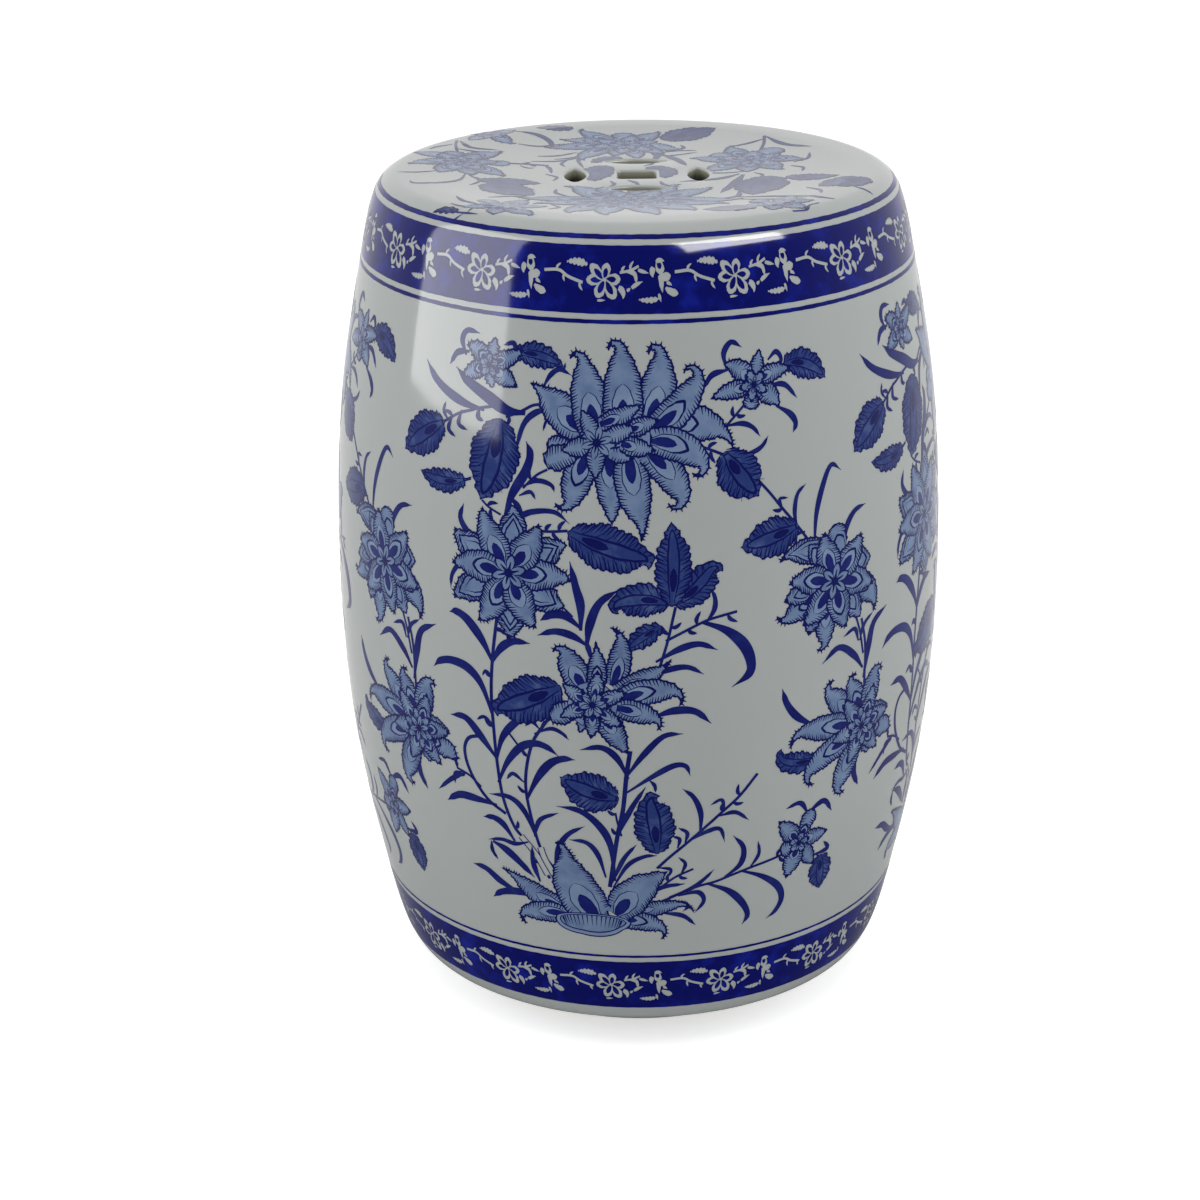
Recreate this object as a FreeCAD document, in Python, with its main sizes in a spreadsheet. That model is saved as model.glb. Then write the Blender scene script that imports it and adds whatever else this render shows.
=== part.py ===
import FreeCAD, Part
import os
import Sketcher

# Glazed stoneware garden stool in the shape of a drum. The wall is a thin cast shell, the seat is a
# disc pierced like an old coin and let into the wall's top, and the foot is a turned ring joined under
# the wall on a bevel. Two coils of clay strengthen the inside corners of these joints, and four thin
# pads under the foot ring protect the floor. Millimetres, +Z up, origin on the floor below the centre.

DOC = FreeCAD.newDocument("garden_stool")
PART_DIR = "parts"
SPLINE_DEGREE = 3
SECTION_PLANE = "XZ_Plane"
GROUND_PLANE = "XY_Plane"
TURN_AXIS = "V_Axis"
FULL_TURN = 360.0
TOUCH = 0.001
OUTER_SPACING = [0.0, 18.0, 70.0, 200.0, 330.0, 430.0, 465.0]
INNER_SPACING = [0.0, 45.0, 160.0, 290.0, 400.0, 440.0]
PAD_CORNERS = ("back_right", "back_left", "front_left", "front_right")
AXIS = "axis"

# Sizes that are chosen. Each has its name, its value and what it measures.
DRIVING_SIZES = (
    ("overall_height", "457.2", "floor to the top of the seat"),
    ("belly_diameter", "330.2", "across the drum at its widest"),
    ("wall_thickness", "8.5", "cast wall, measured square to its surface"),
    ("heel_inset", "38.9", "control point where the wall rolls under, in from the widest line"),
    ("heel_height", "19.65", "its height"),
    ("heel_lean", "58", "how far the skin faces down there, degrees"),
    ("hip_inset", "29.7", "control point where the wall turns up, in from the widest line"),
    ("hip_height", "19.2", "its height"),
    ("hip_lean", "35", "how far the skin faces down there, degrees"),
    ("flank_inset", "12.75", "control point of the lower flank, in from the widest line"),
    ("flank_height", "94.1", "its height"),
    ("flank_lean", "11", "how far the skin faces down there, degrees"),
    ("low_belly_bulge", "1.93", "control point under the widest line, out from it"),
    ("low_belly_height", "174.8", "its height"),
    ("high_belly_inset", "0.35", "control point over the widest line, in from it"),
    ("high_belly_drop", "134.5", "its depth below the top of the seat"),
    ("taper_inset", "12.95", "control point of the upper taper, in from the widest line"),
    ("taper_drop", "68.7", "its depth below the top of the seat"),
    ("taper_lean", "10", "how far the skin faces up there, degrees"),
    ("neck_inset", "25", "control point of the shoulder, in from the widest line"),
    ("neck_drop", "9.35", "its depth below the top of the seat"),
    ("rim_inset", "29.6", "outer edge of the joint of seat and wall, in from the widest line"),
    ("seat_thickness", "12", "seat disc at its edge"),
    ("seat_dish", "4", "how far the middle of the seat lies below its edge"),
    ("seat_border_width", "12", "flat border round the dish"),
    ("coin_field_radius", "45", "flat bottom of the dish, which carries the piercing"),
    ("seat_edge_radius", "14.2", "rounding of the seat's outer edge"),
    ("seat_edge_drop", "5", "top of the seat down to the joint"),
    ("seat_landing_width", "7.6", "flat of the wall's top edge under the seat's rim"),
    ("ledge_width", "9", "ledge inside the wall that carries the seat"),
    ("ledge_depth", "8", "upright face under the ledge"),
    ("foot_edge_radius", "2", "rounding of the foot's outer edge, up to its joint"),
    ("foot_width", "18", "flat standing face with its rounding, measured outwards"),
    ("foot_inner_radius", "81", "opening through the foot"),
    ("floor_height", "14.5", "flat inside the wall's heel, above the floor"),
    ("floor_margin", "1", "flat past the coil that lies on it"),
    ("lip_overhang", "1", "glazed wall past the bare foot ring"),
    ("spigot_width", "10", "upright collar of the foot ring inside the wall"),
    ("spigot_height", "20", "collar above the standing face"),
    ("spigot_rounding", "2", "rounding of the collar's top and inner edges"),
    ("bevel_rise", "3", "slope of the joint of wall and foot"),
    ("coil_radius", "6.5", "coils in the inside corners of both joints"),
    ("coin_square_width", "20", "square hole in the middle of the seat"),
    ("coin_square_corner", "2", "its corner radius"),
    ("slot_length", "34", "lens-shaped slots round the square, tip to tip"),
    ("slot_width", "11", "their width in the middle"),
    ("slot_tip_radius", "1", "their rounded tips"),
    ("slot_circle_radius", "32.5", "axis of the stool to the middle of a slot"),
    ("slot_count", "4", "slots in the ring"),
    ("piercing_rounding", "1.5", "glaze-softened upper edges of the holes"),
    ("pad_diameter", "14", "floor pads"),
    ("pad_thickness", "1.6", "floor pads"),
    ("pad_edge_radius", "0.5", "rounded lower edge of a pad"),
    ("pad_first_angle", "45", "direction of the back right pad, degrees from +X"),
)

# Sizes that follow from the ones above.
FOLLOWING_SIZES = (
    ("belly_radius", "=belly_diameter / 2"),
    ("heel_radius", "=belly_radius - heel_inset"),
    ("hip_radius", "=belly_radius - hip_inset"),
    ("flank_radius", "=belly_radius - flank_inset"),
    ("low_belly_radius", "=belly_radius + low_belly_bulge"),
    ("high_belly_radius", "=belly_radius - high_belly_inset"),
    ("high_belly_height", "=overall_height - high_belly_drop"),
    ("taper_radius", "=belly_radius - taper_inset"),
    ("taper_height", "=overall_height - taper_drop"),
    ("neck_radius", "=belly_radius - neck_inset"),
    ("neck_height", "=overall_height - neck_drop"),
    ("rim_radius", "=belly_radius - rim_inset"),
    ("rim_height", "=overall_height - seat_edge_drop"),
    ("seat_underside", "=overall_height - seat_thickness"),
    ("seat_flat_radius", "=rim_radius - sqrt(seat_edge_radius^2 - (seat_edge_radius - seat_edge_drop)^2)"),
    ("dish_radius", "=seat_flat_radius - seat_border_width"),
    ("dish_bottom", "=overall_height - seat_dish"),
    ("dish_slope_width", "=dish_radius - coin_field_radius"),
    ("dish_sweep_radius", "=(dish_slope_width^2 + seat_dish^2) / (2 * seat_dish)"),
    ("seat_step_radius", "=rim_radius - seat_landing_width"),
    ("ledge_radius", "=seat_step_radius - ledge_width"),
    ("ledge_bottom", "=seat_underside - ledge_depth"),
    ("foot_face", "=pad_thickness"),
    ("foot_joint_height", "=foot_face + foot_edge_radius"),
    ("foot_joint_radius", "=foot_inner_radius + foot_width"),
    ("foot_flat_radius", "=foot_joint_radius - foot_edge_radius"),
    ("lip_radius", "=foot_joint_radius + lip_overhang"),
    ("spigot_radius", "=foot_inner_radius + spigot_width"),
    ("bevel_top", "=foot_joint_height + bevel_rise"),
    ("spigot_top", "=foot_face + spigot_height"),
    ("heel_inner_radius", "=heel_radius - wall_thickness * cos(heel_lean * 1deg)"),
    ("heel_inner_height", "=heel_height + wall_thickness * sin(heel_lean * 1deg)"),
    ("floor_edge_radius", "=spigot_radius + coil_radius + floor_margin"),
    ("hip_inner_radius", "=hip_radius - wall_thickness * cos(hip_lean * 1deg)"),
    ("hip_inner_height", "=hip_height + wall_thickness * sin(hip_lean * 1deg)"),
    ("flank_inner_radius", "=flank_radius - wall_thickness * cos(flank_lean * 1deg)"),
    ("flank_inner_height", "=flank_height + wall_thickness * sin(flank_lean * 1deg)"),
    ("low_belly_inner_radius", "=low_belly_radius - wall_thickness"),
    ("high_belly_inner_radius", "=high_belly_radius - wall_thickness"),
    ("taper_inner_radius", "=taper_radius - wall_thickness * cos(taper_lean * 1deg)"),
    ("taper_inner_height", "=taper_height - wall_thickness * sin(taper_lean * 1deg)"),
    ("root_radius", "=(taper_inner_radius + neck_radius - wall_thickness) / 2"),
    ("root_height", "=(taper_inner_height + neck_height - wall_thickness) / 2"),
    ("seat_coil_inner", "=ledge_radius - coil_radius"),
    ("seat_coil_bottom", "=seat_underside - coil_radius"),
    ("foot_coil_outer", "=spigot_radius + coil_radius"),
    ("foot_coil_top", "=floor_height + coil_radius"),
    ("half_square", "=coin_square_width / 2"),
    ("slot_tip_height", "=slot_length / 2"),
    ("slot_side_radius", "=(slot_length^2 + slot_width^2) / (4 * slot_width)"),
    ("slot_inner_side", "=slot_circle_radius - slot_width / 2"),
    ("slot_outer_side", "=slot_circle_radius + slot_width / 2"),
    ("pad_radius", "=pad_diameter / 2"),
    ("pad_circle_radius", "=(foot_inner_radius + foot_flat_radius) / 2"),
)


def make_sheet():
    """Write every size into the sheet, the chosen ones first."""
    sheet = DOC.addObject("Spreadsheet::Sheet", "sizes")
    row = 1
    for alias, value, note in DRIVING_SIZES:
        sheet.set("A%d" % row, note)
        sheet.set("B%d" % row, value)
        sheet.setAlias("B%d" % row, alias)
        row += 1
    for alias, formula in FOLLOWING_SIZES:
        sheet.set("A%d" % row, alias.replace("_", " "))
        sheet.set("B%d" % row, formula)
        sheet.setAlias("B%d" % row, alias)
        row += 1
    DOC.recompute()
    return sheet


SHEET = make_sheet()


def size(alias):
    """Read one size as a plain number."""
    value = SHEET.get(alias)
    return float(getattr(value, "Value", value))


def bind(target, path, alias):
    """Tie a property or constraint to a size in the sheet."""
    target.setExpression(path, "sizes." + alias)


def make_body(label):
    """One separate piece of the stool."""
    body = DOC.addObject("PartDesign::Body", label)
    body.Label = label
    return body


def make_sketch(body, name, plane):
    """An empty sketch on one of the body's base planes."""
    sketch = body.newObject("Sketcher::SketchObject", name)
    for feature in body.Origin.OriginFeatures:
        if feature.Role == plane:
            sketch.AttachmentSupport = [(feature, "")]
    sketch.MapMode = "FlatFace"
    return sketch


class Outline:
    """A closed outline in a sketch, drawn side by side from named corners.

    A corner is a pair of size names: how far across and how far up. A straight side that runs level
    or upright is held so, and only the coordinate that this leaves free is tied to the sheet.
    """

    def __init__(self, sketch):
        self.sketch = sketch
        self.ends = []
        self.smooth = set()

    def point(self, corner):
        """The corner as a point on the sketch."""
        across, up = corner
        return FreeCAD.Vector(0 if across == AXIS else size(across), 0 if up == AXIS else size(up), 0)

    def hold(self, kind, geometry, position, alias):
        """Tie a radius, or one coordinate of a point measured from the origin, to a size."""
        name = "%s_%d_%d" % (kind, geometry, position)
        if kind == "Radius":
            rule = Sketcher.Constraint(kind, geometry, size(alias))
        else:
            rule = Sketcher.Constraint(kind, -1, 1, geometry, position, size(alias))
        index = self.sketch.addConstraint(rule)
        self.sketch.renameConstraint(index, name)
        bind(self.sketch, "Constraints." + name, alias)

    def place(self, geometry, position, corner):
        """Tie both coordinates of a point to the sheet."""
        self.hold("DistanceX", geometry, position, corner[0])
        self.hold("DistanceY", geometry, position, corner[1])

    def line(self, start, end, fix=""):
        """A straight side. fix names the end's coordinate that is tied to the sheet, if any."""
        first, last = self.point(start), self.point(end)
        index = self.sketch.addGeometry(Part.LineSegment(first, last), False)
        if start[0] == end[0]:
            self.sketch.addConstraint(Sketcher.Constraint("Vertical", index))
        elif start[1] == end[1]:
            self.sketch.addConstraint(Sketcher.Constraint("Horizontal", index))
        if fix == "across" and end[0] == AXIS:
            self.sketch.addConstraint(Sketcher.Constraint("PointOnObject", index, 2, -2))
        elif fix == "across":
            self.hold("DistanceX", index, 2, end[0])
        elif fix == "up":
            self.hold("DistanceY", index, 2, end[1])
        elif fix == "both":
            self.place(index, 2, end)
        self.ends.append((index, 1, 2))
        return index

    def arc(self, start, middle, end):
        """A round side through three points given as numbers."""
        index = self.sketch.addGeometry(Part.Arc(start, middle, end), False)
        turned = self.sketch.getPoint(index, 1).distanceToPoint(start) > TOUCH
        self.ends.append((index, 2, 1) if turned else (index, 1, 2))
        return index

    def sweep(self, centre, start, end):
        """A round side from start to end, round a centre given as numbers."""
        first, last = self.point(start), self.point(end)
        across = (first - centre) + (last - centre)
        across.normalize()
        return self.arc(first, centre + across * first.distanceToPoint(centre), last)

    def bow(self, start, end, radius, side):
        """A round side that leaves its start level and bends up for side 1, or down for side -1."""
        return self.sweep(self.point(start) + FreeCAD.Vector(0, side * size(radius), 0), start, end)

    def spline(self, control, spacing):
        """A smooth side steered by named control points, the first and last being its ends.

        Args:
            control: the corners, in order.
            spacing: rising numbers that share the side's length between the control points.
        """
        poles = [self.point(corner) for corner in control]
        counts = [SPLINE_DEGREE + 1] + [1] * (len(spacing) - 2) + [SPLINE_DEGREE + 1]
        curve = Part.BSplineCurve()
        curve.buildFromPolesMultsKnots(poles, counts, spacing, False, SPLINE_DEGREE)
        index = self.sketch.addGeometry(curve, False)
        self.sketch.exposeInternalGeometry(index)
        for number, corner in enumerate(control):
            self.place(index + 1 + number, 3, corner)
        self.ends.append((index, 1, 2))
        return index

    def flow(self):
        """Let the last side run smoothly into the next one."""
        self.smooth.add(len(self.ends) - 1)

    def close(self):
        """Join each side's end to the next side's start."""
        following = self.ends[1:] + self.ends[:1]
        for number, (this, other) in enumerate(zip(self.ends, following)):
            kind = "Tangent" if number in self.smooth else "Coincident"
            self.sketch.addConstraint(Sketcher.Constraint(kind, this[0], this[2], other[0], other[1]))


def revolve(body, sketch):
    """Turn a section once round the stool's axis."""
    turned = body.newObject("PartDesign::Revolution", body.Name + "_turned")
    turned.Profile = sketch
    turned.ReferenceAxis = (sketch, [TURN_AXIS])
    turned.Angle = FULL_TURN
    body.Tip = turned
    DOC.recompute()
    return turned


def soften(body, base, test, radius, name):
    """Round the edges of a feature that pass a test."""
    chosen = ["Edge%d" % (number + 1) for number, edge in enumerate(base.Shape.Edges) if test(edge)]
    rounded = body.newObject("PartDesign::Fillet", name)
    rounded.Base = (base, chosen)
    bind(rounded, "Radius", radius)
    body.Tip = rounded
    DOC.recompute()
    return rounded


def is_level(edge, height):
    """Whether an edge lies flat at a height."""
    box = edge.BoundBox
    return abs(box.ZMin - height) < TOUCH and abs(box.ZMax - height) < TOUCH


def is_upright(edge):
    """Whether an edge is a straight upright."""
    box = edge.BoundBox
    return box.ZLength > TOUCH and box.XLength < TOUCH and box.YLength < TOUCH


def reach(edge):
    """How far the edge's ends lie from the stool's axis."""
    return max((vertex.Point.x ** 2 + vertex.Point.y ** 2) ** 0.5 for vertex in edge.Vertexes)


def make_barrel_wall():
    """Thin cast wall: rolled-under heel, full belly, tapering shoulder and a stepped rim."""
    body = make_body("barrel_wall")
    sketch = make_sketch(body, "wall_section", SECTION_PLANE)
    outline = Outline(sketch)
    rim = ("rim_radius", "rim_height")
    step_top = ("seat_step_radius", "rim_height")
    step_foot = ("seat_step_radius", "seat_underside")
    ledge_edge = ("ledge_radius", "seat_underside")
    ledge_foot = ("ledge_radius", "ledge_bottom")
    root = ("root_radius", "root_height")
    floor_edge = ("floor_edge_radius", "floor_height")
    floor_end = ("spigot_radius", "floor_height")
    bevel_end = ("spigot_radius", "bevel_top")
    bevel_start = ("foot_joint_radius", "foot_joint_height")
    lip = ("lip_radius", "foot_joint_height")
    outline.spline((
        lip,
        ("heel_radius", "heel_height"),
        ("hip_radius", "hip_height"),
        ("flank_radius", "flank_height"),
        ("low_belly_radius", "low_belly_height"),
        ("high_belly_radius", "high_belly_height"),
        ("taper_radius", "taper_height"),
        ("neck_radius", "neck_height"),
        rim,
    ), OUTER_SPACING)
    outline.line(rim, step_top, "across")
    outline.line(step_top, step_foot, "up")
    outline.line(step_foot, ledge_edge, "across")
    outline.line(ledge_edge, ledge_foot, "up")
    outline.line(ledge_foot, root)
    outline.spline((
        root,
        ("taper_inner_radius", "taper_inner_height"),
        ("high_belly_inner_radius", "high_belly_height"),
        ("low_belly_inner_radius", "low_belly_height"),
        ("flank_inner_radius", "flank_inner_height"),
        ("hip_inner_radius", "hip_inner_height"),
        ("heel_inner_radius", "heel_inner_height"),
        floor_edge,
    ), INNER_SPACING)
    outline.line(floor_edge, floor_end, "across")
    outline.line(floor_end, bevel_end, "up")
    outline.line(bevel_end, bevel_start, "across")
    outline.line(bevel_start, lip)
    outline.close()
    revolve(body, sketch)
    return body


def make_seat_slab():
    """Gently dished seat with a rounded edge, pierced by a square and a ring of lens-shaped slots."""
    body = make_body("seat_slab")
    sketch = make_sketch(body, "seat_section", SECTION_PLANE)
    outline = Outline(sketch)
    middle = (AXIS, "dish_bottom")
    field_edge = ("coin_field_radius", "dish_bottom")
    dish_edge = ("dish_radius", "overall_height")
    flat_edge = ("seat_flat_radius", "overall_height")
    rim = ("rim_radius", "rim_height")
    step_top = ("seat_step_radius", "rim_height")
    step_foot = ("seat_step_radius", "seat_underside")
    underside = (AXIS, "seat_underside")
    outline.line(middle, field_edge, "across")
    outline.flow()
    dish = outline.bow(field_edge, dish_edge, "dish_sweep_radius", 1)
    outline.place(dish, outline.ends[-1][2], dish_edge)
    outline.line(dish_edge, flat_edge)
    outline.flow()
    edge = outline.bow(flat_edge, rim, "seat_edge_radius", -1)
    outline.hold("Radius", edge, 0, "seat_edge_radius")
    outline.place(edge, outline.ends[-1][2], rim)
    outline.line(rim, step_top, "across")
    outline.line(step_top, step_foot, "up")
    outline.line(step_foot, underside, "across")
    outline.line(underside, middle)
    outline.close()
    revolve(body, sketch)

    square = make_seat_sketch(body, "coin_square")
    half = size("half_square")
    corners = ((half, half), (-half, half), (-half, -half), (half, -half))
    points = [FreeCAD.Vector(across, up, 0) for across, up in corners]
    for number, point in enumerate(points):
        square.addGeometry(Part.LineSegment(point, points[(number + 1) % len(points)]), False)
    for number in range(len(points)):
        following = (number + 1) % len(points)
        square.addConstraint(Sketcher.Constraint("Coincident", number, 2, following, 1))
        kind = "Vertical" if number % 2 else "Horizontal"
        square.addConstraint(Sketcher.Constraint(kind, number))
    square.addConstraint(Sketcher.Constraint("Symmetric", 0, 1, 2, 1, -1, 1))
    Outline(square).place(0, 1, ("half_square", "half_square"))
    cut_through(body, square, "coin_square_hole")

    lens = make_seat_sketch(body, "coin_slot")
    outline = Outline(lens)
    tip = outline.point(("slot_circle_radius", "slot_tip_height"))
    other_tip = FreeCAD.Vector(tip.x, -tip.y, 0)
    outer = FreeCAD.Vector(size("slot_outer_side"), 0, 0)
    inner = FreeCAD.Vector(size("slot_inner_side"), 0, 0)
    side = outline.arc(tip, outer, other_tip)
    outline.hold("Radius", side, 0, "slot_side_radius")
    outline.place(side, outline.ends[-1][1], ("slot_circle_radius", "slot_tip_height"))
    lens.addConstraint(Sketcher.Constraint("Symmetric", side, 1, side, 2, -1))
    side = outline.arc(other_tip, inner, tip)
    outline.hold("Radius", side, 0, "slot_side_radius")
    outline.close()
    slot = cut_through(body, lens, "coin_slot_hole")

    ring = body.newObject("PartDesign::PolarPattern", "coin_slots")
    ring.Originals = [slot]
    ring.Axis = (lens, ["N_Axis"])
    ring.Angle = FULL_TURN
    bind(ring, "Occurrences", "slot_count")
    body.Tip = ring
    DOC.recompute()

    inside = size("slot_inner_side")
    field = size("coin_field_radius") - TOUCH
    bottom = size("dish_bottom")
    rounded = soften(
        body, ring, lambda edge: is_upright(edge) and reach(edge) < inside,
        "coin_square_corner", "square_corners")
    rounded = soften(
        body, rounded, lambda edge: is_upright(edge) and inside < reach(edge) < field,
        "slot_tip_radius", "slot_tips")
    soften(
        body, rounded, lambda edge: is_level(edge, bottom) and reach(edge) < field,
        "piercing_rounding", "softened_piercing")
    return body


def make_seat_sketch(body, name):
    """A sketch lying on the seat's top."""
    sketch = make_sketch(body, name, GROUND_PLANE)
    bind(sketch, "AttachmentOffset.Base.z", "overall_height")
    DOC.recompute()
    return sketch


def cut_through(body, sketch, name):
    """Cut an outline on the seat's top right through the disc."""
    cut = body.newObject("PartDesign::Pocket", name)
    cut.Profile = sketch
    cut.Type = "ThroughAll"
    body.Tip = cut
    DOC.recompute()
    return cut


def make_foot_ring():
    """Turned ring: flat standing face, rounded outer edge, bevel for the wall and an inner collar."""
    body = make_body("foot_ring")
    sketch = make_sketch(body, "foot_section", SECTION_PLANE)
    outline = Outline(sketch)
    inner_foot = ("foot_inner_radius", "foot_face")
    flat_edge = ("foot_flat_radius", "foot_face")
    joint = ("foot_joint_radius", "foot_joint_height")
    bevel_end = ("spigot_radius", "bevel_top")
    collar_edge = ("spigot_radius", "spigot_top")
    collar_inner = ("foot_inner_radius", "spigot_top")
    outline.line(inner_foot, flat_edge)
    outline.flow()
    edge = outline.sweep(outline.point(("foot_flat_radius", "foot_joint_height")), flat_edge, joint)
    outline.hold("Radius", edge, 0, "foot_edge_radius")
    outline.place(edge, outline.ends[-1][2], joint)
    outline.line(joint, bevel_end, "both")
    outline.line(bevel_end, collar_edge, "up")
    outline.line(collar_edge, collar_inner, "across")
    outline.line(collar_inner, inner_foot, "up")
    outline.close()
    ring = revolve(body, sketch)
    top = size("spigot_top")
    bottom = size("foot_face")
    inner = size("foot_inner_radius")
    soften(
        body, ring, lambda edge: is_level(edge, top)
        or (is_level(edge, bottom) and abs(reach(edge) - inner) < TOUCH), "spigot_rounding", "soft_edges")
    return body


def make_coil(label, corner, upright_end, level_end):
    """Quarter-round coil of clay that fills the inside corner of a joint."""
    body = make_body(label)
    sketch = make_sketch(body, label + "_section", SECTION_PLANE)
    outline = Outline(sketch)
    outline.line(corner, upright_end, "up")
    bulge = outline.sweep(outline.point(corner), upright_end, level_end)
    outline.line(level_end, corner, "both")
    outline.close()
    sketch.addConstraint(Sketcher.Constraint("Coincident", bulge, 3, 0, 1))
    revolve(body, sketch)
    return body


def make_pad(corner, turn):
    """Thin round floor pad under the foot ring."""
    body = make_body("foot_pad_" + corner)
    sketch = make_sketch(body, "pad_outline_" + corner, GROUND_PLANE)
    centre = FreeCAD.Vector(size("pad_circle_radius"), 0, 0)
    upward = FreeCAD.Vector(0, 0, 1)
    sketch.addGeometry(Part.Circle(centre, upward, size("pad_radius")), False)
    outline = Outline(sketch)
    outline.hold("DistanceX", 0, 3, "pad_circle_radius")
    sketch.addConstraint(Sketcher.Constraint("PointOnObject", 0, 3, -1))
    outline.hold("Radius", 0, 0, "pad_radius")
    disc = body.newObject("PartDesign::Pad", "pad_disc_" + corner)
    disc.Profile = sketch
    bind(disc, "Length", "pad_thickness")
    body.Tip = disc
    DOC.recompute()
    soften(body, disc, lambda edge: is_level(edge, 0), "pad_edge_radius", "pad_edge_" + corner)
    body.Placement = FreeCAD.Placement(FreeCAD.Vector(), FreeCAD.Rotation(upward, turn))
    body.setExpression("Placement.Rotation.Angle", "(sizes.pad_first_angle + %g) * 1deg" % turn)
    DOC.recompute()
    return body


def check_document():
    """Stop if any feature failed."""
    for item in DOC.Objects:
        if "Invalid" in item.State or "Error" in item.State:
            raise RuntimeError("%s is not built: %s" % (item.Name, item.State))


def write_pieces(bodies):
    """Check each piece and write it to its own file."""
    os.makedirs(PART_DIR, exist_ok=True)
    for body in bodies:
        shape = body.Shape
        if shape.isNull() or not shape.isValid() or len(shape.Solids) != 1:
            raise RuntimeError("%s is not one sound solid" % body.Label)
        box = shape.BoundBox
        print("%-24s %9.1f mm3  x %.2f z %.2f..%.2f" % (
            body.Label, shape.Volume, box.XLength, box.ZMin, box.ZMax))
        shape.exportStep(os.path.join(PART_DIR, body.Label + ".step"))


def main():
    """Build every piece, check it and write it."""
    wall = make_barrel_wall()
    seat = make_seat_slab()
    foot = make_foot_ring()
    seat_coil = make_coil(
        "seat_lute_coil", ("ledge_radius", "seat_underside"), ("ledge_radius", "seat_coil_bottom"),
        ("seat_coil_inner", "seat_underside"))
    foot_coil = make_coil(
        "foot_lute_coil", ("spigot_radius", "floor_height"), ("spigot_radius", "foot_coil_top"),
        ("foot_coil_outer", "floor_height"))
    pads = [
        make_pad(corner, number * FULL_TURN / len(PAD_CORNERS))
        for number, corner in enumerate(PAD_CORNERS)
    ]
    DOC.recompute()
    check_document()
    write_pieces([wall, seat, foot, seat_coil, foot_coil] + pads)


main()
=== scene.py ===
"""Dresses a glazed, blue-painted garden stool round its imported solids, ready to photograph.

The wall and the seat get smooth turned skins with a white glaze. The blue painting lies on that glaze
as thin films, drawn in millimetres on the unrolled wall or on the plan of the seat.
"""

import cmath
import logging
import math
import random
from dataclasses import dataclass
from enum import Enum
from typing import Any, Callable, Iterable, Sequence

import bmesh
import bpy
import numpy as np
from mathutils import Matrix, Vector, geometry

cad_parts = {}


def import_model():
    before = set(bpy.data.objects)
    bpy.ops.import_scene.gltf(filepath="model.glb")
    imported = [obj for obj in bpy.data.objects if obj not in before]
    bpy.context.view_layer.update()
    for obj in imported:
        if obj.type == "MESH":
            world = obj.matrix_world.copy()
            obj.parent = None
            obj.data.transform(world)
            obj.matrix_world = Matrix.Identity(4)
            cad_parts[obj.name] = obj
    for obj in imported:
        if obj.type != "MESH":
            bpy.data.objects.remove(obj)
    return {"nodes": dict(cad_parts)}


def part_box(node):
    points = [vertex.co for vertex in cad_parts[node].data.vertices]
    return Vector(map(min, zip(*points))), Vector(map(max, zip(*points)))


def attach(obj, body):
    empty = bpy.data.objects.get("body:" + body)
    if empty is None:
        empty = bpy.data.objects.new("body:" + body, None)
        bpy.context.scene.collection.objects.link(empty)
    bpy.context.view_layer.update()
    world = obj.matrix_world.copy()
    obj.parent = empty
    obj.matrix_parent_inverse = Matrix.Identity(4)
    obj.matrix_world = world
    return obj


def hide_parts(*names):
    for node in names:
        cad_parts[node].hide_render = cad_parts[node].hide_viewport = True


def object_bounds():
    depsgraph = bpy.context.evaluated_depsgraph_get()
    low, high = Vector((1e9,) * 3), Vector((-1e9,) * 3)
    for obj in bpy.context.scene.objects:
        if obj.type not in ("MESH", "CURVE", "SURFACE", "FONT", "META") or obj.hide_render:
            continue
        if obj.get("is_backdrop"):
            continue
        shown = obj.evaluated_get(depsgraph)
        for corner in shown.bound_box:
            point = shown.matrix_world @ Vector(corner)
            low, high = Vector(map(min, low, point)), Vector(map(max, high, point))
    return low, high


LOG = logging.getLogger("garden_stool")
BODY = "root"
UV_NAME = "OFBake"
PIGMENT = "pigment"
SEED = 7
MM = 0.001
FULL_TURN = 2 * math.pi
# corners nearer than this fall together, in metres, and a length that keeps a division from zero
WELD = 1e-6
TINY = 1e-6
# the unrolled sheet's radius, and how far a film lies over the skin, in millimetres
DRAWING_RADIUS = 165.1
FILM_LIFT = 0.1
# a lobe's least half width, and the least that still holds a wash, in millimetres
THIN = 0.04
LEAST_WASH = 0.2
# the outline that the painting follows: its points, and the height in millimetres where it starts
PROFILE_STEPS = 600
PROFILE_START = 22.0

Point = tuple[float, float]
Place = tuple[float, float, float]
Colour = tuple[float, ...]


def linear(red: int, green: int, blue: int) -> Colour:
    """Turn a colour written in 0 to 255 steps, as seen on a screen, into scene values.

    Args:
        red, green, blue: the colour's parts.

    Returns:
        The colour with full cover.
    """
    parts = [part / 255 for part in (red, green, blue)]
    return (*(part / 12.92 if part <= 0.04045 else ((part + 0.055) / 1.055) ** 2.4 for part in parts), 1.0)


WHITE: Colour = (1, 1, 1, 1)


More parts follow.
